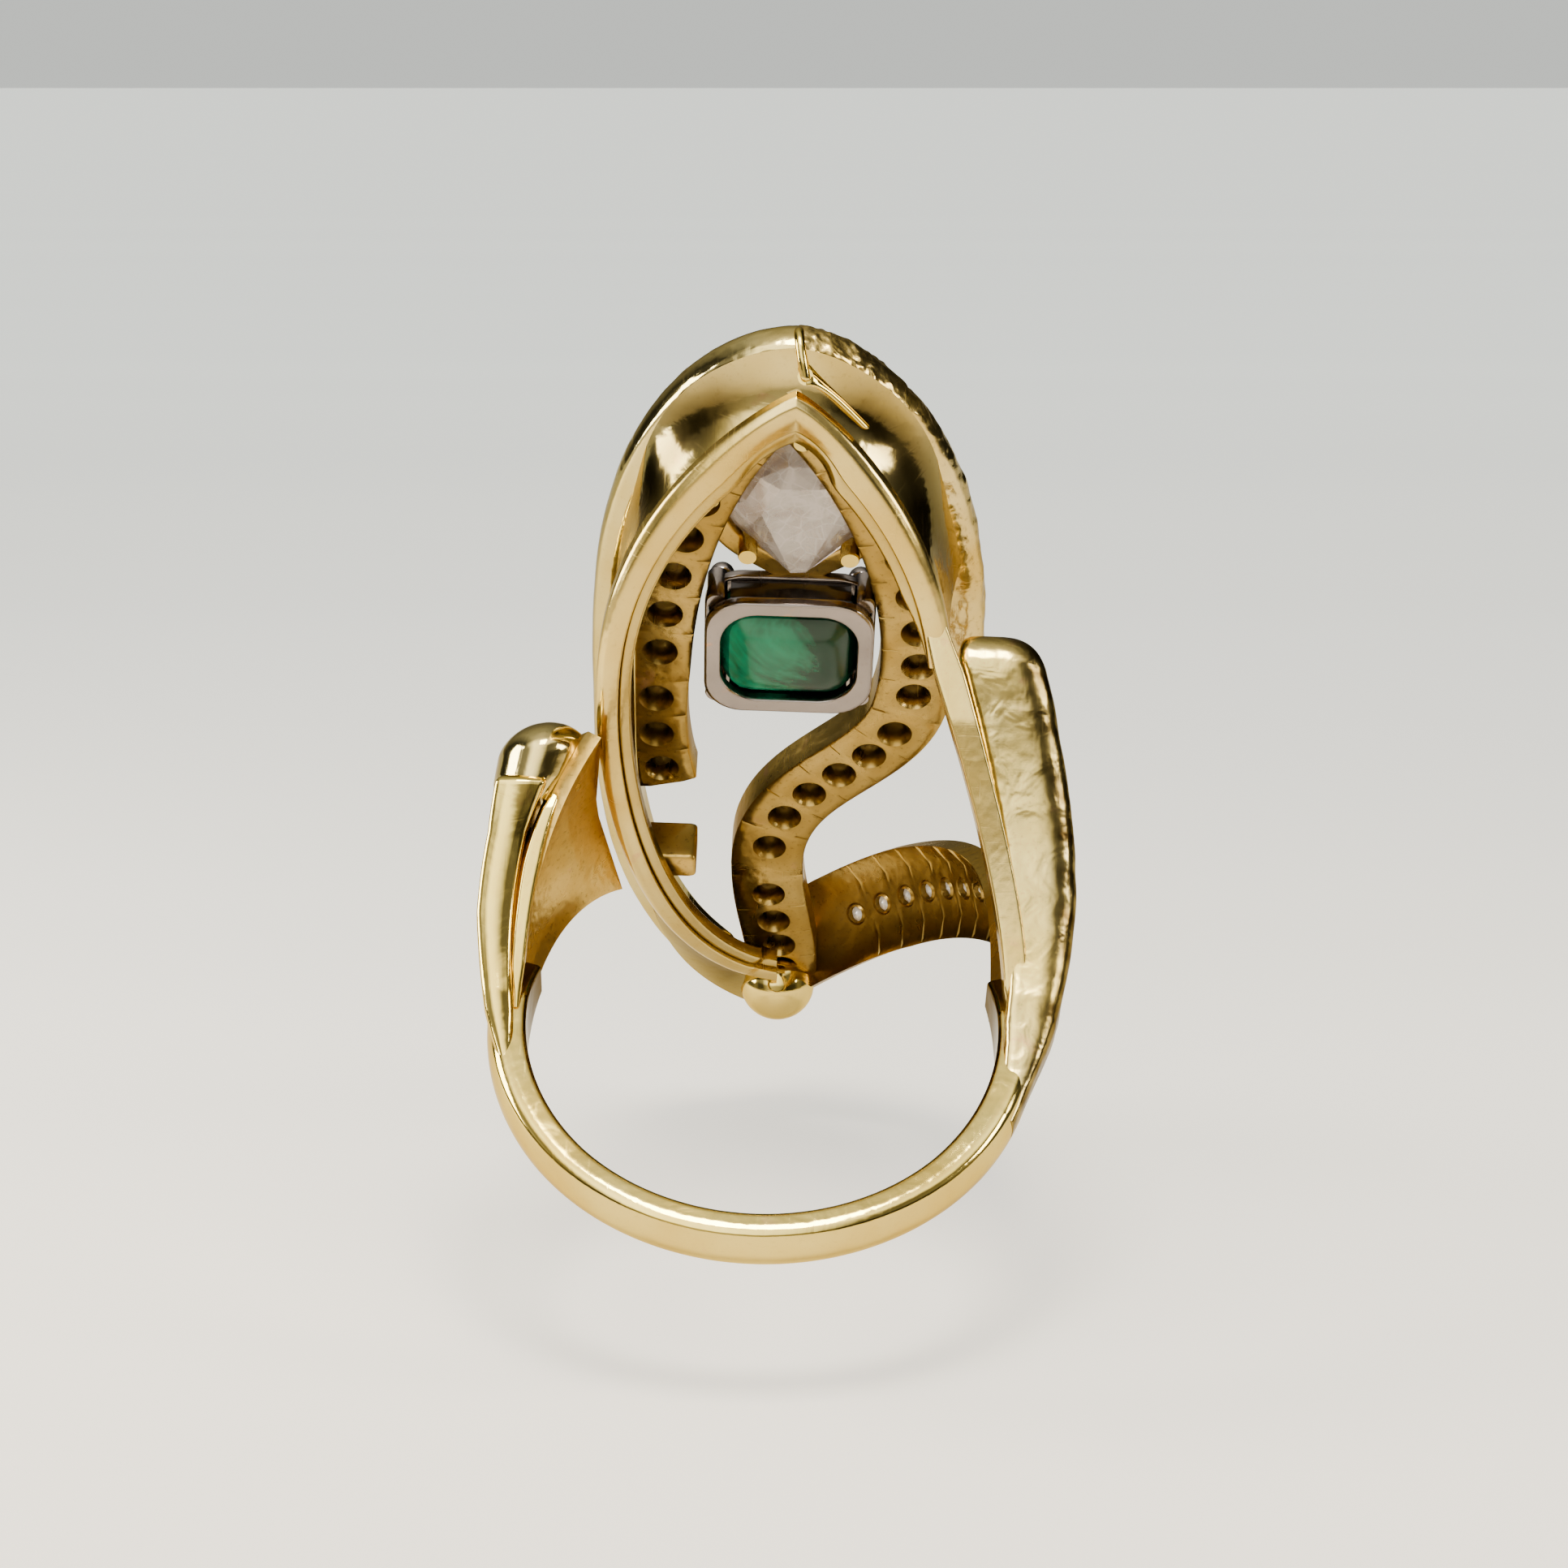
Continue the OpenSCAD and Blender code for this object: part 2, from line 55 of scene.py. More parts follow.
# ---- materials ----
# Node groups give colours, values and normals; each material keeps its own Principled shader.
def add_node(tree, kind, props=None, **inputs):
    """One node. Inputs are constants, or (node, output name) pairs that become links; a name
    such as _0 picks an input by its number."""
    made = tree.nodes.new(kind)
    for key, value in (props or {}).items():
        setattr(made, key, value)
    for key, value in inputs.items():
        socket = made.inputs[int(key[1:]) if key[1:].isdigit() else key.replace("_", " ")]
        if isinstance(value, tuple) and isinstance(value[0], bpy.types.Node):
            tree.links.new(value[0].outputs[value[1]], socket)
        else:
            socket.default_value = value
    return made


def noise(tree, source, scale, detail, **inputs):
    """Noise texture at the positions from source."""
    return add_node(tree, "ShaderNodeTexNoise", Vector=source, Scale=scale, Detail=detail, **inputs)


def mix(tree, share, a, b, **props):
    """Colour mix: a where share is 0 and b where it is 1."""
    return add_node(tree, "ShaderNodeMix", {"data_type": "RGBA", **props}, _0=share, _6=a, _7=b)


def calc(tree, operation, *values, **props):
    """Math node on the values in order."""
    return add_node(tree, "ShaderNodeMath", {"operation": operation, **props},
                    **{f"_{i}": value for i, value in enumerate(values)})


def dot(tree, vector, direction):
    """Dot product of a vector socket with a fixed direction."""
    return add_node(tree, "ShaderNodeVectorMath", {"operation": "DOT_PRODUCT"}, _0=vector, _1=direction)


def ramp(tree, source, stops):
    """Colour ramp fed by source, with stops of (position, colour)."""
    made = add_node(tree, "ShaderNodeValToRGB", Fac=source)
    items = made.color_ramp.elements
    while len(items) < len(stops):
        items.new(0.5)
    for item, (place, colour) in zip(items, stops):
        item.position = place
        item.color = (*colour, 1.0) if isinstance(colour, tuple) else (colour, colour, colour, 1.0)
    return made


def new_material(name):
    """Material with its node tree and its Principled shader."""
    mat = bpy.data.materials.new(name)
    mat.use_nodes = True
    return mat, mat.node_tree, mat.node_tree.nodes["Principled BSDF"]


def new_object(name, data):
    """Object of the given data, linked to the scene."""
    made = bpy.data.objects.new(name, data)
    bpy.context.scene.collection.objects.link(made)
    return made


def new_group(name, ins, outs):
    """Empty node group with named sockets, as (tree, input node, output node)."""
    tree = bpy.data.node_groups.new(name, "ShaderNodeTree")
    for label, kind, value in ins:
        made = tree.interface.new_socket(name=label, in_out="INPUT", socket_type=kind)
        if value is not None:
            made.default_value = value
    for label, kind in outs:
        tree.interface.new_socket(name=label, in_out="OUTPUT", socket_type=kind)
    return tree, tree.nodes.new("NodeGroupInput"), tree.nodes.new("NodeGroupOutput")


V, F, C = "NodeSocketVector", "NodeSocketFloat", "NodeSocketColor"
EDGE_TINT = 0.55
POLISHED, SATIN, CAST = "yellow_gold_polished", "yellow_gold_satin", "yellow_gold_cast"

# Worked gold: slow drifts of alloy colour, reddish fire-stain spots, dirt that gathers in
# fine pits, a soft polish haze, hairline scratches along two directions and a cast grain.
gold_group, gi, go = new_group(
    "worked_gold",
    [("Position", V, None), ("Pale", C, (0.86, 0.72, 0.46, 1)), ("Warm", C, (0.80, 0.58, 0.30, 1)),
     ("Polish", F, 0.1), ("Grain", F, 0.1), ("Scratches", F, 0.2), ("Dirt", F, 0.2), ("Melt", F, 0.2)],
    [("Color", C), ("Roughness", F), ("Normal", V)])
drift = noise(gold_group, (gi, "Position"), 260.0, 3.0)
fine = noise(gold_group, (gi, "Position"), 5200.0, 5.0, Roughness=0.65)
cells = add_node(gold_group, "ShaderNodeTexVoronoi", {"feature": "SMOOTH_F1"}, Vector=(gi, "Position"),
                 Scale=2600.0, Smoothness=0.6, Randomness=1.0)
melt = noise(gold_group, (gi, "Position"), 900.0, 2.0, Roughness=0.5, Distortion=0.6)
stain = noise(gold_group, (gi, "Position"), 700.0, 4.0, Distortion=0.5)
turned = add_node(gold_group, "ShaderNodeMapping", Vector=(gi, "Position"), Rotation=(0.3, 0.9, 0.5),
                  Scale=(9000.0, 500.0, 500.0))
hair_a = noise(gold_group, (turned, "Vector"), 1.0, 2.0)
turned_b = add_node(gold_group, "ShaderNodeMapping", Vector=(gi, "Position"), Rotation=(1.2, 0.2, 1.9),
                    Scale=(700.0, 11000.0, 600.0))
hair_b = noise(gold_group, (turned_b, "Vector"), 1.0, 2.0)
hair_max = calc(gold_group, "MAXIMUM", (hair_a, "Fac"), (hair_b, "Fac"))
hair = ramp(gold_group, (hair_max, "Value"), [(0.62, 0.0), (0.78, 1.0)])
patches = ramp(gold_group, (drift, "Fac"), [(0.35, 0.0), (0.68, 1.0)])
alloy = mix(gold_group, (patches, "Color"), (gi, "Pale"), (gi, "Warm"))
spots = ramp(gold_group, (stain, "Fac"), [(0.66, 0.0), (0.76, 0.55)])
reddish = mix(gold_group, (spots, "Color"), (alloy, "Result"), (0.62, 0.33, 0.17, 1))
pits = ramp(gold_group, (fine, "Fac"), [(0.30, 1.0), (0.44, 0.0)])
dirt = calc(gold_group, "MULTIPLY", (pits, "Color"), (gi, "Dirt"))
dirty = mix(gold_group, (dirt, "Value"), (reddish, "Result"), (0.10, 0.065, 0.02, 1))
haze = add_node(gold_group, "ShaderNodeMapRange", Value=(drift, "Fac"), _1=0.3, _2=0.75, _3=0.7, _4=1.5)
rough = calc(gold_group, "MULTIPLY", (haze, "Result"), (gi, "Polish"))
rough_hair = calc(gold_group, "MULTIPLY_ADD", (hair, "Color"), (gi, "Scratches"), (rough, "Value"))
relief = {}
for amount, distance, height in (("Melt", 0.00022, (melt, "Fac")), ("Grain", 0.00010, (cells, "Distance")),
                                 ("Grain", 0.00004, (fine, "Fac")), ("Scratches", 0.00001, (hair, "Color"))):
    bump = add_node(gold_group, "ShaderNodeBump", {"invert": amount == "Scratches"}, Strength=(gi, amount),
                    Distance=distance, Height=height, **relief)
    relief = {"Normal": (bump, "Normal")}
gold_group.links.new(dirty.outputs["Result"], go.inputs["Color"])
gold_group.links.new(rough_hair.outputs["Value"], go.inputs["Roughness"])
gold_group.links.new(bump.outputs["Normal"], go.inputs["Normal"])


def gold(name, pale, warm, polish, grain, scratches, dirt_amount, melt_amount):
    """Metal with the gloss and relief of worked_gold. Its colour turns to a dark brown by the painted
    shade of the vertices, and part of that tint stays in the grazing reflections."""
    mat, tree, shader = new_material(name)
    where = add_node(tree, "ShaderNodeTexCoord")
    worked = add_node(tree, "ShaderNodeGroup", {"node_tree": gold_group}, Position=(where, "Object"),
                      Pale=(*pale, 1), Warm=(*warm, 1), Polish=polish, Grain=grain,
                      Scratches=scratches, Dirt=dirt_amount, Melt=melt_amount)
    shader.inputs["Metallic"].default_value = 1.0
    # The vertex attribute read here is painted shade; it mixes the colour towards dark brown.
    soot = add_node(tree, "ShaderNodeAttribute", {"attribute_name": "soot"})
    toned = mix(tree, (soot, "Fac"), (worked, "Color"), (0.075, 0.045, 0.012, 1), clamp_factor=True)
    tree.links.new(toned.outputs["Result"], shader.inputs["Base Color"])
    edge = mix(tree, EDGE_TINT, (1, 1, 1, 1), (toned, "Result"))
    tree.links.new(edge.outputs["Result"], shader.inputs["Specular Tint"])
    tree.links.new(worked.outputs["Roughness"], shader.inputs["Roughness"])
    tree.links.new(worked.outputs["Normal"], shader.inputs["Normal"])
    return mat


PALE, WARM = (0.77, 0.60, 0.17), (0.67, 0.48, 0.10)
gold_polished = gold("gold_polished", PALE, WARM, 0.09, 0.03, 0.08, 0.10, 0.08)
gold_band = gold("gold_satin_band", (0.72, 0.56, 0.20), (0.63, 0.45, 0.12), 0.18, 0.05, 0.08, 0.15, 0.08)
# A darker, more olive copy of the polished gold: painted shade for the gallery wall, the left cap and the
# left frame half.
gold_shaded = gold("gold_polished_shaded", (0.66, 0.54, 0.22), (0.56, 0.42, 0.12), 0.11, 0.04, 0.08, 0.20, 0.08)
gold_cast = gold("gold_cast", (0.72, 0.57, 0.24), (0.62, 0.43, 0.11), 0.18, 0.30, 0.08, 0.50, 0.40)
gold_horn = gold("gold_hammered", (0.73, 0.58, 0.21), (0.61, 0.46, 0.13), 0.18, 0.06, 0.06, 0.25, 0.28)
gold_inner = gold("gold_unpolished", (0.60, 0.42, 0.12), (0.44, 0.27, 0.05), 0.28, 0.12, 0.05, 0.55, 0.15)
white_metal = gold("white_gold", (0.33, 0.29, 0.275), (0.24, 0.21, 0.20), 0.18, 0.04, 0.08, 0.15, 0.08)
white_dark = gold("white_gold_shaded", (0.12, 0.11, 0.11), (0.07, 0.065, 0.065), 0.16, 0.04, 0.08, 0.15, 0.08)


def gem(name, light, deep, transmission, roughness, ior, scale, needle, painted_light_dir=(0, 0, 0), gloss=0.5):
    """Stone with clouds and needles of a second colour inside, and painted light and shade: the
    light colour gains by the dot product of the given direction with the position in metres."""
    mat, tree, shader = new_material(name)
    where = add_node(tree, "ShaderNodeTexCoord")
    cloud = noise(tree, (where, "Object"), scale, 4.0, Roughness=0.6, Distortion=1.0)
    needles = add_node(tree, "ShaderNodeTexVoronoi", {"feature": "DISTANCE_TO_EDGE"},
                       Vector=(where, "Object"), Scale=scale*2.2)
    veil = ramp(tree, (needles, "Distance"), [(0.0, needle), (0.06, 0.0)])
    clouds = ramp(tree, (cloud, "Fac"), [(0.35, 0.0), (0.65, 1.0)])
    amount = calc(tree, "ADD", (clouds, "Color"), (veil, "Color"), use_clamp=True)
    painted_light = dot(tree, (where, "Object"), painted_light_dir)
    with_painted_light = calc(tree, "ADD", (amount, "Value"), (painted_light, "Value"), use_clamp=True)
    tint = mix(tree, (with_painted_light, "Value"), (*deep, 1), (*light, 1))
    tree.links.new(tint.outputs["Result"], shader.inputs["Base Color"])
    soft = add_node(tree, "ShaderNodeMapRange", Value=(cloud, "Fac"), _3=roughness*0.5, _4=roughness*1.6)
    tree.links.new(soft.outputs["Result"], shader.inputs["Roughness"])
    shader.inputs["Transmission Weight"].default_value = transmission
    shader.inputs["IOR"].default_value = ior
    shader.inputs["Specular IOR Level"].default_value = gloss
    return mat


# The green stone is painted lighter on its left and darker on its right: painted light and shade.
emerald_glass = gem("emerald_stone", (0.01, 0.44, 0.23), (0.0, 0.035, 0.016), 0.25, 0.20,
                    1.58, 240.0, 0.06, (-230.0, 70.0, 0.0), 0.3)
clear_glass = gem("clear_stone", (0.84, 0.76, 0.73), (0.52, 0.42, 0.38), 0.65, 0.10, 1.9, 700.0, 0.5)
pave_glass = gem("pave_stone", (0.96, 0.95, 0.95), (0.80, 0.77, 0.76), 0.30, 0.08, 2.1, 900.0, 0.3)


# ---- mesh helpers ----
def solid(name, verts, faces, mat, slot_name, *nodes, crease=40.0, soot=None):
    """Closed mesh in millimetres made into a finished piece on the root body. Faces are
    turned outward where the summed volume of the corner pyramids is negative. The shade values,
    from 0 to 1 at each vertex, are painted shade: the material darkens the metal's colour by
    them. Vertices past their end, such as the middles of end caps, have none."""
    verts = np.asarray(verts, float)
    shade_paint = np.zeros(len(verts))
    if soot is not None:
        shade_paint[:np.size(soot)] = np.ravel(soot)
    mesh = bpy.data.meshes.new(name)
    mesh.from_pydata((verts*MM).tolist(), [], [list(map(int, f)) for f in faces])
    work = bmesh.new()
    work.from_mesh(mesh)
    layer = work.verts.layers.float.new("soot")
    for v, amount in zip(work.verts, shade_paint):
        v[layer] = amount
    bmesh.ops.remove_doubles(work, verts=work.verts, dist=2e-7)
    bmesh.ops.recalc_face_normals(work, faces=work.faces)
    if work.calc_volume(signed=True) < 0:
        bmesh.ops.reverse_faces(work, faces=work.faces)
    work.to_mesh(mesh)
    work.free()
    mesh.update()
    mesh.shade_smooth()
    mesh.set_sharp_from_angle(angle=math.radians(crease))
    mesh.materials.append(mat)
    piece = new_object(name, mesh)
    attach(piece, "root")
    if nodes:
        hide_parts(*nodes)
    return piece


def unit(v):
    """Vectors along the last axis scaled to length one."""
    v = np.asarray(v, float)
    return v/np.maximum(np.linalg.norm(v, axis=-1, keepdims=True), 1e-12)


def bez(c, t):
    """Cubic Bezier through control points c: weights (1-t)^3, 3t(1-t)^2, 3t^2(1-t), t^3."""
    c, t = np.asarray(c, float), np.asarray(t, float)[..., None]
    return (1 - t)**3*c[0] + 3*t*(1 - t)**2*c[1] + 3*t*t*(1 - t)*c[2] + t**3*c[3]


def rounded(points, radii, seg=5):
    """Closed outline with each corner replaced by seg + 1 points of a quadratic arc that
    starts and ends its radius away from the corner, at most 0.45 of either side, and three
    points on each straight part, which keep its shading flat."""
    points = np.asarray(points, float)
    out = []
    for i, p in enumerate(points):
        a, b = points[i - 1] - p, points[(i + 1) % len(points)] - p
        ra = min(radii[i], 0.45*np.linalg.norm(a))
        rb = min(radii[i], 0.45*np.linalg.norm(b))
        a, b = p + unit(a)*ra, p + unit(b)*rb
        for t in np.linspace(0, 1, seg + 1):
            out.append((1 - t)**2*a + 2*t*(1 - t)*p + t*t*b)
        q = points[(i + 1) % len(points)]
        rq = min(radii[(i + 1) % len(points)], 0.45*np.linalg.norm(q - p))
        end = q + unit(p - q)*rq
        out += [b + (end - b)*t for t in (0.1, 0.5, 0.9)]
    return np.array(out)


def skin(rings, closed=False):
    """Vertices and faces of a tube through rings of equal length. Open tubes end in fans
    about each end ring's mean point, closed ones join the last ring to the first."""
    rings = np.asarray(rings, float)
    n, m = rings.shape[:2]
    verts = rings.reshape(-1, 3)
    span = n if closed else n - 1
    faces = [(i*m + j, i*m + (j + 1) % m, (i + 1) % n*m + (j + 1) % m, (i + 1) % n*m + j)
             for i in range(span) for j in range(m)]
    if not closed:
        verts = np.vstack([verts, rings[0].mean(0), rings[-1].mean(0)])
        faces += [(j, n*m, (j + 1) % m) for j in range(m)]
        last = (n - 1)*m
        faces += [(last + j, last + (j + 1) % m, n*m + 1) for j in range(m)]
    return verts, faces


def merge(parts):
    """Several (verts, faces) pairs as one."""
    verts, faces, base = [], [], 0
    for v, f in parts:
        verts.append(np.asarray(v, float))
        faces += [tuple(int(i) + base for i in face) for face in f]
        base += len(v)
    return np.vstack(verts), faces


def lump(p, size, seed, octaves=3):
    """Smooth noise in -1..1 at points p: sums of sines with random directions whose wave
    length starts at size and halves with each octave, at half the weight."""
    rng = np.random.default_rng(seed)
    total, weight = np.zeros(p.shape[:-1]), 0.0
    for k in range(octaves):
        for _ in range(5):
            d = unit(rng.normal(size=3))*2*np.pi/(size/2**k)*rng.uniform(0.7, 1.3)
            total += np.sin(p@d + rng.uniform(0, 6.28))/2**k
            weight += 0.5/2**k
    return np.clip(total/weight, -1, 1)


# ---- hoop ----
# Solid gold band round the lower finger hole, flat inside with a softly broken edge, domed
# outside, thin at the bottom and fading into the shoulders at both ends. Its outer circle is
# raised above the bore's centre, which makes the band thicker at the top than at the bottom.
rings, shade_paint = [], []
for deg in np.linspace(-196.0, 16.0, 220):
    a = math.radians(deg)
    c, s = math.cos(a), math.sin(a)
    rise = (HOOP_TOP - HOOP_BOTTOM)/2
    edge_r = rise*s + math.sqrt((BORE_R + (HOOP_TOP + HOOP_BOTTOM)/2)**2 - (rise*c)**2)
    t = edge_r - BORE_R
    z = BORE_R*s
    hw = np.interp(z, [-8.6, -6.0, 0.6, 2.4], [0.95, 0.95, 1.25, 0.8])
    t = t*np.interp(z, [0.0, 2.4], [1.0, 0.72])
    side = t - (HOOP_DOME - math.sqrt(HOOP_DOME**2 - hw**2))
    prof = rounded([[0, -hw], [side, -hw], [t, -hw*0.35], [t, hw*0.35], [side, hw], [0, hw]],
                   [0.22, 0.5, 0.7, 0.7, 0.5, 0.22], 7)
    rings.append([[(BORE_R + r)*c, y, (BORE_R + r)*s] for r, y in prof])
    # Painted shade: the bore and its edges are darkened, and towards both upper ends so is the inner half of
    # the band's thickness.
    end = float(np.clip((z + 0.2)/1.6, 0, 1))
    shade_paint.append([max(math.exp(-(r/0.16)**2)*0.9, end*0.9*(r < 0.5*t)) for r, y in prof])
solid("hoop", *skin(rings), gold_polished, POLISHED, "shank_hoop",
      soot=shade_paint)


# ---- left shoulder: outer leaf, cap and saddle ----
# Two gold leaves rise from the hoop with a narrow slot between them. The outer leaf ends under
# a rounded cap; the inner one widens into a hollow saddle that carries the rail.
def bar(curve, outline, steps=90, cap=0.0, radii=0.2, seg=5, cap_steps=10, blunt=1.0):
    """Bar along a Bezier curve. outline(t) gives corners as (across the finger, in the plane
    of the curve); with a cap the end shrinks as the cosine to the power blunt while it moves
    on by the sine."""
    rings, t_all = [], np.linspace(0, 1, steps)
    spine, ahead, behind = bez(curve, t_all), bez(curve, t_all + 0.01), bez(curve, t_all - 0.01)
    direction = unit(ahead - behind)
    for t, p, d in zip(t_all, spine, direction):
        b = unit(np.array([0, d[2], -d[1]]))
        prof = rounded(outline(t), np.broadcast_to(radii, len(outline(t))), seg)
        rings.append([p + np.array([q[0], 0, 0]) + b*q[1] for q in prof])
    if cap:
        for a in np.linspace(0, 86, cap_steps)[1:]:
            k, lift = math.cos(math.radians(a))**blunt, math.sin(math.radians(a))*cap
            rings.append([p + d*lift + (np.array(q) - p)*k for q in rings[steps - 1]])
    return np.array(rings)


def leaf_outline(t):
    """Corners of the leaf at the share t of its length: 2*hx wide across the finger, 2*hb deep,
    and on its near side wider by lean, with a low ridge."""
    hx = np.interp(t, [0, 0.2, 0.4, 0.8, 1], [0.10, 0.36, 0.40, 0.50, 0.74])
    hb = np.interp(t, [0, 0.25, 0.5, 1], [0.7, 1.66, 2.05, 2.65])
    lean = np.interp(t, [0, 0.2, 0.5, 1], [0.0, 0.25, 0.45, 0.3])
    return [[-hx, hb], [hx, hb], [hx + 0.1, -hb + 0.1], [-lean*0.5, -hb - 0.12],
            [-hx - lean, -hb + 0.1]]


leaf_curve = [[-8.95, 0, -3.4], [-10.1, 0, 2.2], [-9.9, -1.9, 5.8], [-9.15, -3.7, 8.4]]
solid("left_leaf", *skin(bar(leaf_curve, leaf_outline, cap=0.6, radii=[0.22, 0.2, 0.2, 0.6, 0.2])),
      gold_polished, POLISHED, "left_horn")

cap_curve = [[-9.0, -3.3, 7.9], [-8.9, -3.6, 8.4], [-8.75, -3.9, 8.9], [-8.6, -4.3, 9.5]]


def oval_outline(hx, hb, m=8):
    """m corners on an ellipse with the half axes hx and hb."""
    return [[hx*math.cos(2*math.pi*i/m), hb*math.sin(2*math.pi*i/m)] for i in range(m)]


def cap_outline(t):
    """Ellipse that widens from the leaf's end into the cap."""
    return oval_outline(np.interp(t, [0, 0.5, 1], [1.25, 1.75, 1.85]), np.interp(t, [0, 1], [2.6, 2.7]))


solid("left_cap", *skin(bar(cap_curve, cap_outline, steps=20, cap=1.5, radii=0.9, cap_steps=22)),
      gold_shaded, POLISHED, "left_horn_cap")

# The saddle is a curved sheet between two edges, 0.6 mm thick, with a beaded rim on both sides.
near_edge = [[-8.95, -1.4, 0.6], [-8.9, -3.2, 4.0], [-8.2, -5.2, 6.2], [-6.5, -6.3, 9.0]]
far_edge = [[-8.95, 1.4, 0.6], [-8.9, 1.8, 5.0], [-7.8, 2.4, 8.6], [-5.9, 3.6, 10.4]]
rings = []
for s in np.linspace(0, 1, 70):
    a, b = bez(near_edge, s), bez(far_edge, s)
    across = np.linspace(0, 1, 26)
    ring = []
    for side, cols in ((0.0, across), (0.6, across[::-1])):
        for c in cols:
            rim = 0.16*math.exp(-(min(c, 1 - c)/0.07)**2)
            out = 0.9*math.sin(math.pi*c)*math.sin(math.pi*min(s, 0.8))
            out += side*(1 - 0.55*math.exp(-(min(c, 1 - c)/0.02)**2)) + (rim if side else -rim)
            ring.append(a*(1 - c) + b*c + np.array([-0.85, 0, 0.53*s])*out)
    rings.append(ring)
# Painted shade: the face of the sheet that lies farther out darkens towards the middle of the hollow; the
# other face has none.
shade_paint = [[0.0]*26 + [0.6*math.sin(math.pi*c)**0.7*math.sin(math.pi*s) for c in np.linspace(1, 0, 26)]
        for s in np.linspace(0, 1, 70)]
solid("left_saddle", *skin(rings), gold_inner, SATIN, "left_web", crease=60,
      soot=shade_paint)


def lip_outline(t):
    """Square of side 0.6*k that is thickest in the middle of the lip."""
    k = np.interp(t, [0, 0.12, 0.5, 0.8, 1], [0.35, 0.8, 1.0, 0.8, 0.35])
    return [[-0.30*k, 0.30*k], [0.30*k, 0.30*k], [0.30*k, -0.30*k], [-0.30*k, -0.30*k]]


lip_curve = [[-8.98, -1.2, 0.0], [-9.05, -3.3, 4.0], [-8.5, -4.9, 5.9], [-7.7, -5.2, 7.6]]
solid("saddle_lip", *skin(bar(lip_curve, lip_outline, cap=0.3, radii=0.14)), gold_polished,
      POLISHED)


# ---- right shoulder: tusk and inner strip ----
# Thick hammered tusk with a flat near face, a rounded outer side and a rough free end, and the
# plain strip along its inner edge that runs from the hoop to the rail.
tusk_curve = [[8.8, 0, -4.0], [10.9, 0.1, 3.4], [10.2, -3.4, 7.4], [8.5, -7.3, 12.0]]


def tusk_outline(t):
    """Corners of the tusk at the share t of its length: 2*hx wide and 2*hb deep, flat on the
    near and inner sides and bevelled towards the outer one."""
    hx = np.interp(t, [0, 0.2, 0.5, 1], [0.35, 0.95, 1.36, 1.6])
    hb = np.interp(t, [0, 0.25, 0.5, 1], [0.7, 1.7, 2.0, 2.45])
    return [[-hx, hb*0.75], [-hx*0.75, hb], [hx*0.45, hb], [hx, hb*0.35], [hx, -hb*0.8], [hx*0.5, -hb],
            [-hx, -hb]]


# Dents push the surface in or out along the way from the section's centre. They are stronger on
# the outer side and near the free end, where the metal was left as it came from the mould.
rings = bar(tusk_curve, tusk_outline, steps=150, cap=1.4, radii=0.42, seg=9, cap_steps=30, blunt=0.55)
centre = rings.mean(1, keepdims=True)
outward = unit(rings - centre)
share = np.linspace(0, 1, len(rings))[:, None]
outer_side = np.clip(outward[..., 0]*1.4, 0, 1)
amount = 0.035*outer_side + 0.015 + 0.09*np.clip((share - 0.86)/0.1, 0, 1)
dents = lump(rings, 3.4, 3, 2) - 0.5*np.clip(lump(rings, 1.8, 8, 2), 0, 1)
rings = rings + outward*(amount*dents)[..., None]
# Painted shade: the outer side is painted darker, mottled by noise.
shade_paint = np.clip(outer_side*2.0, 0, 1)*(0.78 + 0.25*np.clip(lump(rings, 1.5, 9), -1, 1))
solid("right_tusk", *skin(rings), gold_horn, CAST, "right_horn", crease=60,
      soot=np.clip(shade_paint, 0, 1))

strip_curve = [[9.2, -1.1, 0.2], [9.4, -2.6, 3.6], [7.8, -6.2, 7.0], [5.85, -10.3, 11.35]]


def strip_outline(t):
    """Rectangle 2*hx wide and 2*hb deep that narrows at both ends of the strip."""
    hb = np.interp(t, [0, 0.1, 0.8, 1], [0.35, 0.6, 0.75, 0.30])
    hx = np.interp(t, [0, 0.1, 0.7, 0.9, 1], [0.25, 0.44, 0.50, 0.56, 0.42])
    return [[-hx, hb], [hx, hb], [hx, -hb], [-hx, -hb]]


solid("right_strip", *skin(bar(strip_curve, strip_outline, cap=0.3, radii=0.12)), gold_band,
      POLISHED, "right_arm")


# ---- gallery rail, wire and wall ----
# The rail is a flat band with a rounded outer edge, the wire a second narrow band one step
# higher inside it, and the wall a thin curved strip that leans out from rail to frame.
def oval_hw(hw, t, n, e):
    """Half width hw*(1 - |t|^n)^e of a pointed oval at the fraction t of its half length."""
    return hw*np.maximum(0, 1 - np.clip(np.abs(t), 0, 1)**n)**e


def head_hw_at(t, side):
    """Half width of the head at t, from -1 at the near tip to 1 at the far one. side is -1 on
    the left, where the near half is a little fuller, and 1 on the right."""
    return np.where(t < 0, oval_hw(HEAD_HW, t, 3, np.where(side < 0, 0.54, 0.62)),
                    oval_hw(HEAD_HW, t, 2.7, 0.65))


def rail_hw_at(t):
    """Half width of the rail at t, widest at RAIL_WIDE, with its own curve towards each tip."""
    return np.where(t < RAIL_WIDE, oval_hw(RAIL_HW, (RAIL_WIDE - t)/(1 + RAIL_WIDE), 2.6, 0.85),
                    oval_hw(RAIL_HW, (t - RAIL_WIDE)/(1 - RAIL_WIDE), 1.7, 0.8))


def plan_normals(p):
    """Horizontal unit normals to the right of a plan path's direction."""
    d = np.gradient(p, axis=0)
    return unit(np.stack([d[:, 1], -d[:, 0]], 1))


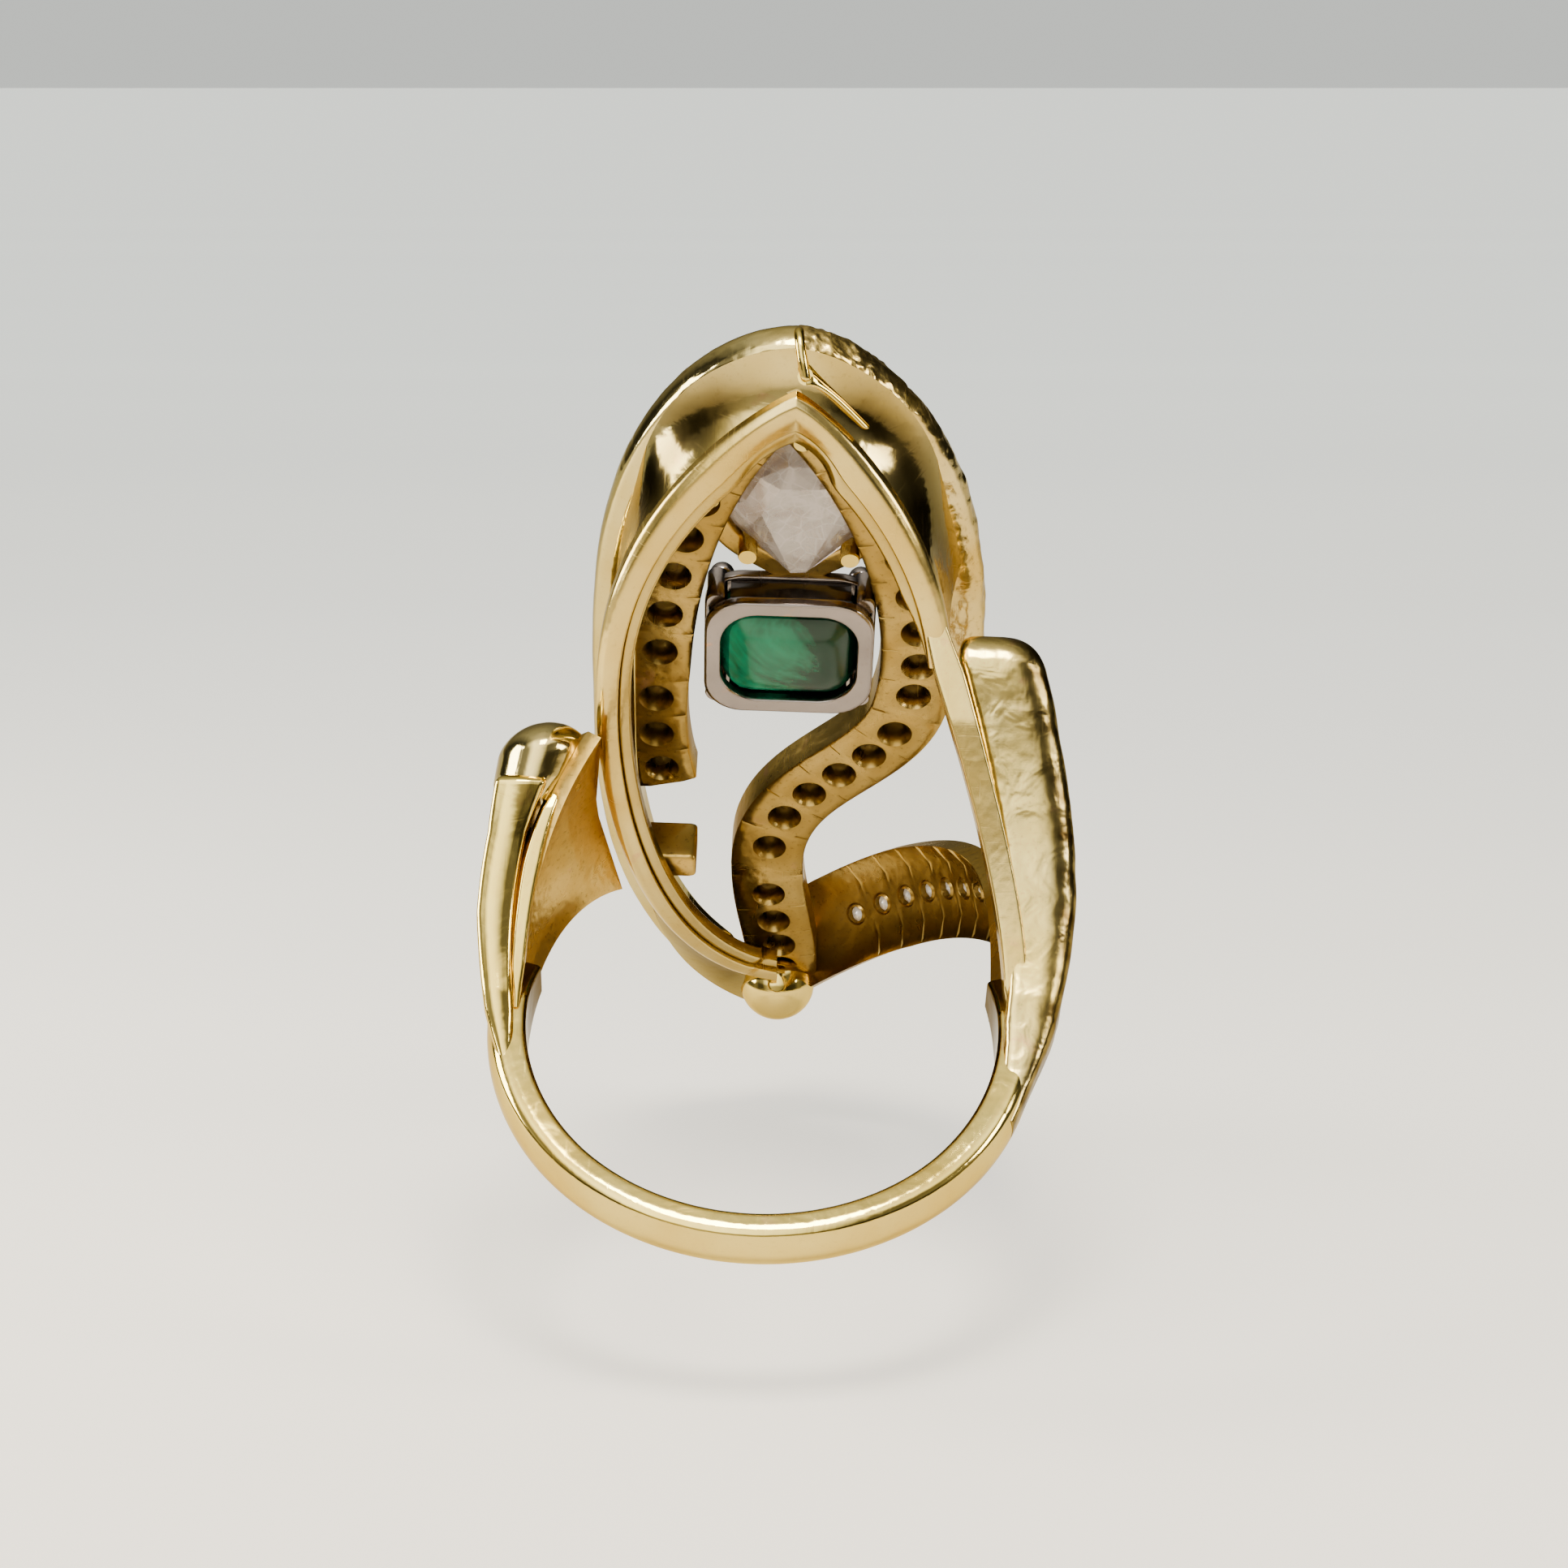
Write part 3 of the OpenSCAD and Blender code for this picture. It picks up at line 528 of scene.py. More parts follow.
def tip_normals(p, sign, c, half, reach):
    """Inward directions of a plan path: its normals, turned smoothly (3k^2 - 2k^3) into the
    line of the finger within reach of both tips, so that the two sides meet cleanly."""
    e = (p[:, 1] - c)/half
    k = np.clip((1 - np.abs(e))*half/reach, 0, 1)[:, None]
    k = k*k*(3 - 2*k)
    axis = np.stack([np.zeros(len(p)), -np.sign(e)], 1)
    return unit(sign*plan_normals(p)*k + axis*(1 - k))


turn = np.radians(np.concatenate([np.linspace(-27, -89.2, 80), np.linspace(-90, 90, 260)]))
side_sign = np.concatenate([np.ones(80), -np.ones(260)])
tt = np.sin(turn)
rail_path = np.stack([RAIL_C[0] + TIP_SHIFT*np.abs(tt)**6 + side_sign*rail_hw_at(tt),
                      RAIL_C[1] + RAIL_HL*tt], 1)
rail_n = tip_normals(rail_path, 1, RAIL_C[1], RAIL_HL, TIP_REACH)
rail_h = RAIL_Z + (RAIL_TIP_Z - RAIL_Z)*(np.abs(rail_path[:, 1] - RAIL_C[1])/RAIL_HL)**2
near_tip = (np.maximum(0, RAIL_C[1] - rail_path[:, 1])/RAIL_HL)**4
rail_width, wire_width = RAIL_W + RAIL_GAIN*near_tip, WIRE_W + WIRE_GAIN*near_tip


def along(path, n, heights, profile_at):
    """Rings of a profile given as (inward, up) pairs at every point of a plan path."""
    return [[[p[0] + m[0]*q[0], p[1] + m[1]*q[0], h + q[1]] for q in profile_at(i)]
            for i, (p, m, h) in enumerate(zip(path, n, heights))]


def rail_profile(i):
    """Section of the rail at path point i: its full width, 0.95 high, rounded on the outside."""
    w = rail_width[i]
    return rounded([[0, 0.95], [0, 0.36], [0.26, 0.02], [w*0.6, -0.03], [w, 0.02], [w + 0.04, 0.95]],
                   [0.05, 0.14, 0.14, 0.4, 0.10, 0.05], 5)


def wire_profile(i):
    """Section of the wire at path point i, inside the rail, growing from a tenth of its width
    over the first points of the path."""
    w, s = rail_width[i], wire_width[i]*min(1, 0.1 + i/16)
    return rounded([[w - 0.02, 1.0], [w + 0.02, 0.26], [w + s*0.5, 0.24], [w + s, 0.34], [w + s, 1.0]],
                   [0.05, 0.08, 0.2, 0.14, 0.10], 5)


band = np.array(along(rail_path, rail_n, rail_h, rail_profile))
wire = np.array(along(rail_path, rail_n, rail_h, wire_profile))
depth_in = np.linalg.norm(wire[:, :, :2] - rail_path[:, None, :], axis=2) - rail_width[:, None]
# Painted shade: the band darkens on its upper part away from its outer edge; the wire is darker above than
# below and darkest in the groove beside the band.
solid("rail_band", *skin(band), gold_band, POLISHED, "gallery_rail",
      soot=0.75*np.clip((band[..., 2] - rail_h[:, None] - 0.06)/0.3, 0, 1)
      * (np.linalg.norm(band[:, :, :2] - rail_path[:, None, :], axis=2) > 0.7))
solid("rail_wire", *skin(wire), gold_band, POLISHED, "rail_step",
      soot=np.where(wire[..., 2] - rail_h[:, None] > 0.55, 0.6, 0.25)
      + 0.4*np.exp(-(depth_in/0.09)**2))

# Between the tips the wall's upper edge stays inside the frame's outline by the overhang, and
# the wall bows inward. Painted shade darkens its outside in the middle of its height, but not at
# the tips, and its inside all over.
share = np.clip((0.93 - np.abs(tt))/0.38, 0, 1)
overhang = 0.8*share*share*(3 - 2*share)
wall_top = np.stack([HEAD_C[0] + side_sign*(head_hw_at(tt, side_sign) - overhang),
                     HEAD_C[1] + (HEAD_HL - 0.12)*tt], 1)
top_n = tip_normals(wall_top, 1, HEAD_C[1], HEAD_HL, TIP_REACH)
rings, shade_paint = [], []
for i in range(len(wall_top)):
    foot = np.array([*rail_path[i], rail_h[i] + 0.75])
    head = np.array([*wall_top[i], FRAME_Z + 0.1])
    n_foot, n_head = np.array([*rail_n[i], 0]), np.array([*top_n[i], 0])
    rows, shade_row = [], []
    for layer, order in ((0.0, np.linspace(0, 1, 14)), (WALL_T, np.linspace(1, 0, 14))):
        for u in order:
            n = unit(n_foot*(1 - u) + n_head*u)
            hollow = 0.22*math.sin(math.pi*u)
            rows.append(foot*(1 - u) + head*u + n*(layer + hollow*(1 if layer == 0 else 0.4)))
            flank_shade = 0.78*min(1.0, max(0.0, (0.995 - abs(tt[i]))/0.07))
            shade_row.append(0.7 if layer else flank_shade*(0.35 + 0.65*math.sin(math.pi*u)))
    rings.append(rows)
    shade_paint.append(shade_row)
solid("gallery_side", *skin(rings), gold_shaded, SATIN, "gallery_wall",
      soot=shade_paint)


# ---- head frame ----
# Heavy domed border of the head in two halves that meet in a ridge at the near tip. The left
# half is polished and runs the full length; the right one is rough from casting and short.
def frame_ring(side, turn_deg, rough_amount, seed):
    """Rings of one half of the frame, side -1 left or 1 right, at angles turn_deg whose sine is
    the place along the head. Noise of rough_amount moves them, with grains near the near tip."""
    t = np.sin(np.radians(turn_deg))
    path = np.stack([HEAD_C[0] + side*head_hw_at(t, side), HEAD_C[1] + HEAD_HL*t], 1)
    n = tip_normals(path, -side, HEAD_C[1], HEAD_HL, TIP_REACH)
    prof = rounded([[0.02, 0.75], [0.16, 0.22], [0.72, 0.0], [FRAME_W, 0.0],
                    [FRAME_W, FRAME_H - 0.3], [FRAME_W - 0.45, FRAME_H - 0.02], [0.62, FRAME_H],
                    [0.10, FRAME_H - 0.42]],
                   [0.3, 0.22, 0.16, 0.1, 0.15, 0.2, 0.35, 0.35], 6)
    rings = np.array([[[p[0] + m[0]*q[0], p[1] + m[1]*q[0], FRAME_Z + q[1]] for q in prof]
                      for p, m in zip(path, n)])
    out = unit(rings - rings.mean(1, keepdims=True))
    tip = np.exp(-((rings[..., 1] + 18.2)/2.2)**2)
    coarse, grains = lump(rings, 2.4, seed, 3), np.clip(lump(rings, 0.8, seed + 1, 2), 0, 1)
    return rings + out*(rough_amount*(coarse + 1.6*tip*grains))[..., None]


solid("frame_left_half", *skin(frame_ring(-1, np.linspace(-90, 90, 300), 0.012, 5)), gold_shaded,
      POLISHED, "frame_left")
solid("frame_right_half", *skin(frame_ring(1, np.linspace(-90, -8, 220), 0.055, 6)), gold_cast,
      CAST, "frame_right", crease=60)

ridge_curve = [[0.5, -19.0, 17.3], [0.42, -19.75, 16.7], [0.5, -19.5, 15.9], [0.75, -18.6, 15.25]]
solid("mitre_ridge", *skin(bar(ridge_curve, lambda t: oval_outline(0.20, 0.20), steps=50, cap=0.15,
                               radii=0.08)), gold_polished, CAST)
fork_curve = [[0.75, -18.6, 15.3], [1.2, -18.3, 15.5], [1.9, -17.7, 15.3], [2.9, -16.7, 15.0]]
solid("fork_strip", *skin(bar(fork_curve, lambda t: oval_outline(0.3 - 0.1*t, 0.35 - 0.15*t), steps=40,
                              cap=0.2, radii=0.1)), gold_polished, CAST, "tip_fork")

# Short block that ties the left rail to the left ribbon, with rounded edges.
mid_x, mid_z = -3.95, 12.2
prof = rounded([[-5.0, 11.2], [-2.9, 11.2], [-2.9, 13.2], [-5.0, 13.2]], [0.25]*4, 5)
rings = [[[mid_x + (x - mid_x)*k, y, mid_z + (z - mid_z)*k] for x, z in prof]
         for y, k in ((2.6, 0.82), (2.64, 0.92), (2.75, 1.0), (3.65, 1.0), (3.76, 0.92), (3.8, 0.82))]
solid("bracket_block", *skin(rings), gold_inner, SATIN, "left_bracket")

# Rounded joint where the rail, the frame, the S ribbon and the strap meet at the far tip.
jx, jy, jz = 0.5, 15.7, 16.0
rings = [[[jx + 1.6*math.sin(a)*math.cos(b), jy + 1.5*math.sin(a)*math.sin(b), jz - 1.6*math.cos(a)]
          for b in np.linspace(0, 2*math.pi, 40, endpoint=False)]
         for a in np.radians(np.linspace(3, 177, 24))]
solid("far_joint", *skin(rings), gold_polished, SATIN, "far_tip_joint")


# ---- stone-set ribbons and strap ----
# Gold strips with a flared hole behind every stone. A strip is cut into one cell per stone:
# rings of SIDES points go from the cell's edge to the hole, up through it and back out on top.
SIDES = 24


def chain_at(curves, u):
    """Point of a chain of Bezier curves at u, whose whole part picks the curve."""
    k = min(int(u), len(curves) - 1)
    return bez(curves[k], u - k)


def strip_cells(at, seats, ends, under, over, flare, hole, seat_r, shade_paint_at):
    """at(u) gives (point, across vector with the half width as length, up normal). under and
    over are offsets along the normal, and the last argument gives the painted shade of the
    underside, as functions of the across share from -1 to 1. Returns vertices, faces and painted shade
    values."""
    edges = [ends[0], *[(a + b)/2 for a, b in zip(seats[:-1], seats[1:])], ends[1]]
    angles = np.arange(SIDES)*2*np.pi/SIDES
    ca, sa = np.cos(angles), np.sin(angles)
    box_a, box_b = ca/np.maximum(abs(ca), abs(sa)), sa/np.maximum(abs(ca), abs(sa))
    parts, shade_paint = [], []
    for k, mid in enumerate(seats):
        p0, b0, n0 = at(mid)
        p1 = at(mid + 0.01)[0]
        t0 = unit(p1 - p0)
        corner = []
        for a, b in zip(box_a, box_b):
            u = mid + (edges[k + 1] - mid)*a if a > 0 else mid + (mid - edges[k])*a
            corner.append((at(u), b))

        def rim(scale, level):
            """Ring at the share scale of the way from the flared hole out to the cell's edge."""
            row = []
            for ((p, bv, n), b), c, s in zip(corner, ca, sa):
                outer = p + bv*b
                inner = p0 + flare*(t0*c + unit(b0)*s)
                share = b*scale + (1 - scale)*flare*s/np.linalg.norm(b0)
                row.append(outer*scale + inner*(1 - scale) + n*level(share))
            return row

        def circle(r, h):
            """Ring of radius r about the hole's axis at the height h."""
            return [p0 + r*(t0*c + unit(b0)*s) + n0*h for c, s in zip(ca, sa)]

        rows = [rim(1.0, under), rim(0.9, under), rim(0.5, under), circle(flare, under(0)),
                circle(flare*0.96, under(0) + 0.04), circle(hole, under(0) + 0.35),
                circle(hole, over(0) - 0.5), circle(seat_r*0.9, over(0) - 0.1),
                circle(seat_r, over(0) - 0.03), rim(0.5, over), rim(0.9, over), rim(1.0, over)]
        # Painted shade: the underside as given, the flared mouth of the hole 0.4, the bore of the hole 0.45
        # and the top 0.2.
        low = [shade_paint_at(b) for b in box_b]
        shade_paint += [*low, *low, *[shade_paint_at(0.5*b) for b in box_b]]
        shade_paint += [0.4]*2*SIDES + [0.45]*2*SIDES + [0.2]*5*SIDES
        rows = np.array(rows)
        verts = rows.reshape(-1, 3)
        top = (len(rows) - 1)*SIDES
        faces = [(i + j, i + (j + 1) % SIDES, i + SIDES + (j + 1) % SIDES, i + SIDES + j)
                 for i in range(0, top, SIDES) for j in range(SIDES)]
        for j in range(SIDES):
            j2 = (j + 1) % SIDES
            on_side = abs(box_b[j]) > 0.999 and abs(box_b[j2]) > 0.999 and box_b[j]*box_b[j2] > 0
            on_end = abs(box_a[j]) > 0.999 and abs(box_a[j2]) > 0.999 and box_a[j]*box_a[j2] > 0
            closes = on_end and ((k == 0 and box_a[j] < 0) or (k == len(seats) - 1 and box_a[j] > 0))
            if on_side or closes:
                faces.append((j, top + j, top + j2, j2))
        parts.append((verts, faces))
    return (*merge(parts), shade_paint)


def flat_at(curves, half):
    """Strip position on the deck: the plan chain, its normal times the half width, and up."""
    def at(u):
        """The same three at u, with the direction taken over a short step about it."""
        last = len(curves)
        a, b = chain_at(curves, max(u - 0.004, 0)), chain_at(curves, min(u + 0.004, last - 1e-9))
        d = unit(b - a)
        p = chain_at(curves, min(max(u, 0), last - 1e-9))
        return np.array([*p, DECK_Z]), np.array([d[1], -d[0], 0])*half, np.array([0, 0, 1.0])
    return at


def edge_soft(level, sign):
    """Flat offset level whose last tenth towards either edge turns in by 0.14."""
    return lambda c: level + sign*0.14*np.clip((abs(c) - 0.86)/0.14, 0, 1)**2


s_curves = [[[1.0, -16.2], [4.9, -11.5], [6.3, -5.0], [5.3, -1.0]],
            [[5.3, -1.0], [4.3, 2.6], [-0.4, 3.2], [-0.1, 8.6]],
            [[-0.1, 8.6], [0.0, 11.5], [0.9, 13.5], [0.6, 15.6]]]
l_curves = [[[-0.4, -16.2], [-3.2, -13.0], [-4.4, -8.0], [-4.6, -3.0]],
            [[-4.6, -3.0], [-4.8, -1.0], [-4.8, 1.5], [-4.3, 3.4]]]
s_seats = [k + (i + 0.7)/(n + 0.4) for k, n in enumerate((8, 6, 4)) for i in range(n)]
l_seats = [k + (i + 0.8)/(n + 0.3) for k, n in enumerate((7, 3)) for i in range(n)]
strap_seats = [0.42 + 0.055*i for i in range(9)]
strap_curve = [[9.5, 0.6, 1.6], [11.0, 3.4, 10.5], [9.2, 8.2, 18.4], [0.5, 15.2, 17.3]]
s_at, l_at = flat_at(s_curves, 1.5), flat_at(l_curves, 1.25)


def strap_at(u):
    """Strap position: the curve, its width vector, and the direction its stones face."""
    d = unit(bez(strap_curve, u + 0.01) - bez(strap_curve, u - 0.01))
    side = unit(np.cross(d, [0, 0, 1]))
    n = unit(side + 0.9*np.cross(side, d))
    half = np.interp(u, [0, 0.35, 0.75, 1], [1.0, 1.8, 2.1, 2.0])
    return bez(strap_curve, u), np.cross(n, d)*half, n


def channel(c):
    """Underside of the strap: walls half a millimetre deep at both edges, hollow between."""
    return -0.5 + 0.55*np.clip((1 - abs(c))/0.45, 0, 1)**0.6


# The last function given for each strip paints shade under it; under the strap the painted shade is darker
# towards one edge.
for label, node, strip in (
        ("s_ribbon_plate", "s_ribbon", strip_cells(
            s_at, s_seats, (0, 3), edge_soft(0, 1), edge_soft(DECK_H, -1), 0.70, 0.48, 0.74,
            lambda c: 0.15 + 0.25*abs(c))),
        ("left_ribbon_plate", "left_ribbon", strip_cells(
            l_at, l_seats, (0, 2), edge_soft(0, 1), edge_soft(DECK_H, -1), 0.70, 0.48, 0.74,
            lambda c: 0.15 + 0.25*abs(c))),
        ("strap_plate", "far_right_strap", strip_cells(
            strap_at, [0.06, 0.14, 0.22, 0.30, 0.37, *strap_seats], (0, 0.99), channel,
            lambda c: 0.5 - 0.12*abs(c)**3, 0.5, 0.34, 0.72, lambda c: 0.45 - 0.35*c))):
    solid(label, *strip[:2], gold_inner, SATIN, node, soot=strip[2])


# Round brilliants and the beads that hold them, one piece per ribbon.
def hull(points):
    """Vertices and faces of the convex hull of points, flat faces joined."""
    work = bmesh.new()
    made = [work.verts.new(p) for p in points]
    done = bmesh.ops.convex_hull(work, input=made)
    loose = [g for g in done["geom_interior"] + done["geom_unused"] if isinstance(g, bmesh.types.BMVert)]
    bmesh.ops.delete(work, geom=list(set(loose)), context="VERTS")
    bmesh.ops.dissolve_limit(work, angle_limit=0.02, verts=work.verts, edges=work.edges)
    work.verts.index_update()
    verts = np.array([v.co for v in work.verts])
    faces = [[v.index for v in f.verts] for f in work.faces]
    work.free()
    return verts, faces


def brilliant(r):
    """Round brilliant of girdle radius r with its girdle at height zero: culet, eight mains,
    sixteen girdle points, eight crown points and an eight-sided table."""
    pts = [[0, 0, -0.66*r]]
    for n, rad, z, shift in ((8, 0.45, -0.42, 0.5), (16, 1.0, -0.02, 0), (16, 1.0, 0.04, 0),
                             (8, 0.78, 0.20, 0.5), (8, 0.55, 0.33, 0)):
        for i in range(n):
            a = 2*math.pi*(i + shift)/n
            pts.append([rad*r*math.cos(a), rad*r*math.sin(a), z*r])
    return hull(pts)


def ball(r, rows=6, cols=10):
    """Sphere of rings between two poles."""
    verts = [[0, 0, -r]]
    for i in range(1, rows):
        a = math.pi*i/rows
        verts += [[r*math.sin(a)*math.cos(2*math.pi*j/cols), r*math.sin(a)*math.sin(2*math.pi*j/cols),
                   -r*math.cos(a)] for j in range(cols)]
    verts.append([0, 0, r])
    faces = [(0, 1 + (j + 1) % cols, 1 + j) for j in range(cols)]
    for i in range(rows - 2):
        a = 1 + i*cols
        faces += [(a + j, a + (j + 1) % cols, a + cols + (j + 1) % cols, a + cols + j) for j in range(cols)]
    last = 1 + (rows - 2)*cols
    faces += [(last + j, last + (j + 1) % cols, len(verts) - 1) for j in range(cols)]
    return verts, faces


def facing(n, spin):
    """Rotation that takes +Z to n after a turn of spin about it."""
    n = unit(n)
    x = unit(np.cross([0.3, 1, 0.2], n))
    y = np.cross(n, x)
    c, s = math.cos(spin), math.sin(spin)
    return np.stack([x, y, n], 1)@np.array([[c, -s, 0], [s, c, 0], [0, 0, 1]])


def set_stones(at, seats, lift, seed):
    """A brilliant at every seat, each turned by a random angle."""
    rng = np.random.default_rng(seed)
    verts, faces = brilliant(0.73)
    parts = []
    for u in seats:
        p, _, n = at(u)
        parts.append((np.asarray(verts)@facing(n, rng.uniform(0, 1)).T + p + n*lift, faces))
    return merge(parts)


def set_beads(at, seats, lift, seed):
    """A pair of beads across the gap between each two neighbouring stones."""
    rng = np.random.default_rng(seed)
    verts, faces = ball(0.24)
    parts = []
    for a, b in zip(seats[:-1], seats[1:]):
        p, w, n = at((a + b)/2)
        for s in (-1, 1):
            size = rng.uniform(0.9, 1.1)
            parts.append((np.asarray(verts)*size + p + n*lift + unit(w)*0.62*s, faces))
    return merge(parts)


for label, at, seats, node, lift in (("s_ribbon", s_at, s_seats, "s_ribbon", DECK_H - 0.03),
                                     ("left_ribbon", l_at, l_seats, "left_ribbon", DECK_H - 0.03),
                                     ("strap", strap_at, strap_seats, "strap", 0.56)):
    solid(label + "_brilliants", *set_stones(at, seats, lift, 11), pave_glass, "clear_stone",
          node + "_stones", crease=1)
    solid(label + "_bead_pairs", *set_beads(at, seats, lift + 0.03, 12), gold_polished,
          POLISHED, node + "_beads", crease=60)


# ---- green stone and its white basket ----
# Step-cut cushion in a white-gold basket: a base rim, four bowed wall panels, a top rim and
# four corner posts that end in domed claws.
EM_C, EM_W, EM_L = np.array([0.5, -4.4]), 5.9, 5.1
BASKET_Z, BASKET_TOP, BASE_H, CLAW_H = 15.4, 16.9, 0.5, 2.3


def cushion_path(g, r, seg=10):
    """Rectangle grown by g all round from the stone's size, with corners of radius r."""
    x, y = EM_W/2 + g - r, EM_L/2 + g - r
    pts = []
    for k, (i, j) in enumerate(((1, 1), (-1, 1), (-1, -1), (1, -1))):
        for a in np.linspace(0, 90, seg):
            b = math.radians(a + 90*k)
            pts.append([EM_C[0] + i*x + r*math.cos(b), EM_C[1] + j*y + r*math.sin(b)])
    return np.array(pts)


def rim_rings(outer, inner, z0, h, soft):
    """Rings of a rim of height h between two cushion outlines, with rounded section."""
    prof = rounded([[0, 0], [1, 0], [1, h], [0, h]], [soft]*4, 4)
    a, b = cushion_path(inner, 1.5), cushion_path(outer, 1.5)
    return np.array([[[*(p + (q - p)*s), z0 + z] for s, z in prof] for p, q in zip(a, b)])


solid("basket_base", *skin(rim_rings(0.35, -0.3, BASKET_Z, BASE_H, 0.16), closed=True), white_metal,
      "white_gold", "basket_base_rim")
solid("basket_top", *skin(rim_rings(0.4, -0.1, BASKET_TOP, 0.45, 0.14), closed=True), white_metal,
      "white_gold", "basket_top_rim")

panels = []
prof = rounded([[0, 0], [-0.35, 0], [-0.35, 1.0], [0, 1.0], [0.05, 0.5]], [0.05]*5, 3)
for sx, sy in ((0, -1), (0, 1), (-1, 0), (1, 0)):
    half = (EM_W/2 if sx == 0 else EM_L/2) - 0.62
    out = (EM_L/2 if sx == 0 else EM_W/2) + 0.25
    rings = []
    for a in np.linspace(-1, 1, 24):
        bow = 0.06*(1 - a*a)
        ring = []
        for q, z in prof:
            d = out - 0.06 + bow + q
            x, y = (a*half, sy*d) if sx == 0 else (sx*d, a*half)
            ring.append([EM_C[0] + x, EM_C[1] + y, BASKET_Z + BASE_H + z])
        rings.append(ring)
    panels.append(skin(rings))
solid("basket_panels", *merge(panels), white_dark, "white_gold", "basket_walls")


def post(x, y, z0, z1, r, dome_r, dx, dy):
    """Round post with a slightly waisted shank and a domed claw that leans by dx, dy."""
    rings = []
    for z, k in ((z0, 0.9), (z0 + 0.08, 1.0), ((z0 + z1)/2, 0.94), (z1 - 0.2, 1.0)):
        rings.append([[x + k*r*math.cos(a), y + k*r*math.sin(a), z]
                      for a in np.linspace(0, 2*math.pi, 20, endpoint=False)])
    for a in np.linspace(-35, 84, 12):
        k, lift = math.cos(math.radians(a)), math.sin(math.radians(a))
        rings.append([[x + dx + k*dome_r*math.cos(b), y + dy + k*dome_r*math.sin(b), z1 + dome_r*lift]
                      for b in np.linspace(0, 2*math.pi, 20, endpoint=False)])
    return skin(rings)


solid("basket_posts", *merge([post(EM_C[0] + i*(EM_W/2 - 0.1), EM_C[1] + j*(EM_L/2 - 0.1),
                                   BASKET_Z + BASE_H, BASKET_Z + CLAW_H, 0.42, 0.5,
                                   -0.15*i, -0.15*j) for i in (-1, 1) for j in (-1, 1)]),
      white_metal, "white_gold", "basket_claws")

# Outlines of the green stone from the culet to the table: height, growth and corner radius.
girdle = BASKET_TOP + 0.5
pts = []
for z, g, r in ((-2.25, -2.1, 0.25), (-2.17, -1.5, 0.5), (-2.0, -1.0, 0.75), (-1.72, -0.62, 0.9),
                (-1.35, -0.42, 1.05), (-0.5, -0.15, 1.2),
                (0, 0, 1.3), (0.2, 0, 1.3), (0.45, -0.25, 1.15), (0.7, -0.55, 0.97), (0.97, -1.1, 0.64)):
    pts += [[*p, girdle + z] for p in cushion_path(g, r, 4)]
solid("green_stone", *hull(pts), emerald_glass, "green_stone", "emerald", crease=22)


# ---- white pear stone ----
# Pear-cut stone with its point towards the green stone, in a plain gold seat with five claws.
PEAR_C, PEAR_L, PEAR_W, PEAR_Z = np.array([0.75, -11.05]), 7.4, 6.8, 18.0


def pear_path(g, n=48):
    """Outline of the hull of the round end and the small nose circle, both grown by g, as
    the farther of the two circles' support points in each direction, filled in evenly."""
    big, small = np.array([0, PEAR_W/2 - PEAR_L/2]), np.array([0, PEAR_L/2 - 0.35])
    pts = []
    for a in np.linspace(0, 2*np.pi, n, endpoint=False):
        d = np.array([math.cos(a), math.sin(a)])
        p, q = big + d*(PEAR_W/2 + g), small + d*max(0.35 + g, 0.02)
        pts.append(p if p@d > q@d else q)
    pts = np.array(pts)
    dense = np.vstack([pts, pts[:1]])
    length = np.concatenate([[0], np.cumsum(np.linalg.norm(np.diff(dense, axis=0), axis=1))])
    even = np.linspace(0, length[-1], n, endpoint=False)
    return np.stack([np.interp(even, length, dense[:, k]) for k in (0, 1)], 1) + PEAR_C


prof = rounded([[0, 0], [1, 0], [1, 0.8], [0, 0.8]], [0.15]*4, 4)
rings = [[[*(p + (q - p)*s), PEAR_Z - 0.9 + z] for s, z in prof]
         for p, q in zip(pear_path(-0.35, 80), pear_path(0.55, 80))]
solid("pear_bezel", *skin(rings, closed=True), gold_inner, SATIN, "pear_seat")

# Outlines of the pear stone from the culet to the table: height, growth and number of corners.
pts = []
for z, g, n in ((-1.9, -1.9, 8), (-1.55, -1.25, 12), (-1.05, -0.68, 18), (-0.5, -0.25, 24),
                (-0.04, 0, 24), (0.15, 0, 24), (0.5, -0.5, 12), (0.8, -1.0, 12)):
    pts += [[*p, PEAR_Z + z] for p in pear_path(g, n)]
solid("pear_crystal", *hull(pts), clear_glass, "clear_stone", "pear_stone", crease=2)

claws = [[0, -PEAR_L/2 - 0.1], [-3.4, -0.9], [3.4, -0.9], [-1.95, 1.9], [1.95, 1.9]]
solid("pear_posts", *merge([post(PEAR_C[0] + x, PEAR_C[1] + y, DECK_Z, DECK_Z + 2.2, 0.38, 0.48, 0, 0)
                            for x, y in claws]), gold_polished, POLISHED, "pear_claws")


# ---- stage: floor, light and camera ----
# The camera looks up into the finger hole, and the floor is tilted with it so that the ring
# stands on the lowest point of its hoop. The floor is clear from behind for the other views.
FOCAL, PICTURE_W = 4030.8, 1932
EYE = (0.000490, -0.09279, -0.07667)
FLOOR_DROP, GLOW = 10.9, 0.62
look = np.array([0, math.cos(math.radians(44)), math.sin(math.radians(44))])
up0 = np.array([0, -look[2], look[1]])
roll = math.radians(2)
right = np.array([1.0, 0, 0])*math.cos(roll) + up0*math.sin(roll)
up = up0*math.cos(roll) - np.array([1.0, 0, 0])*math.sin(roll)
cam_data = bpy.data.cameras.new("camera")
cam_data.sensor_width = 36.0
cam_data.lens = cam_data.sensor_width*FOCAL/PICTURE_W
camera = new_object("camera", cam_data)
turn_m = Matrix(np.stack([right, up, -look], 1).tolist()).to_4x4()
camera.matrix_world = Matrix.Translation(EYE)@turn_m
cam_data.clip_start, cam_data.clip_end = 0.005, 5.0
bpy.context.scene.camera = camera

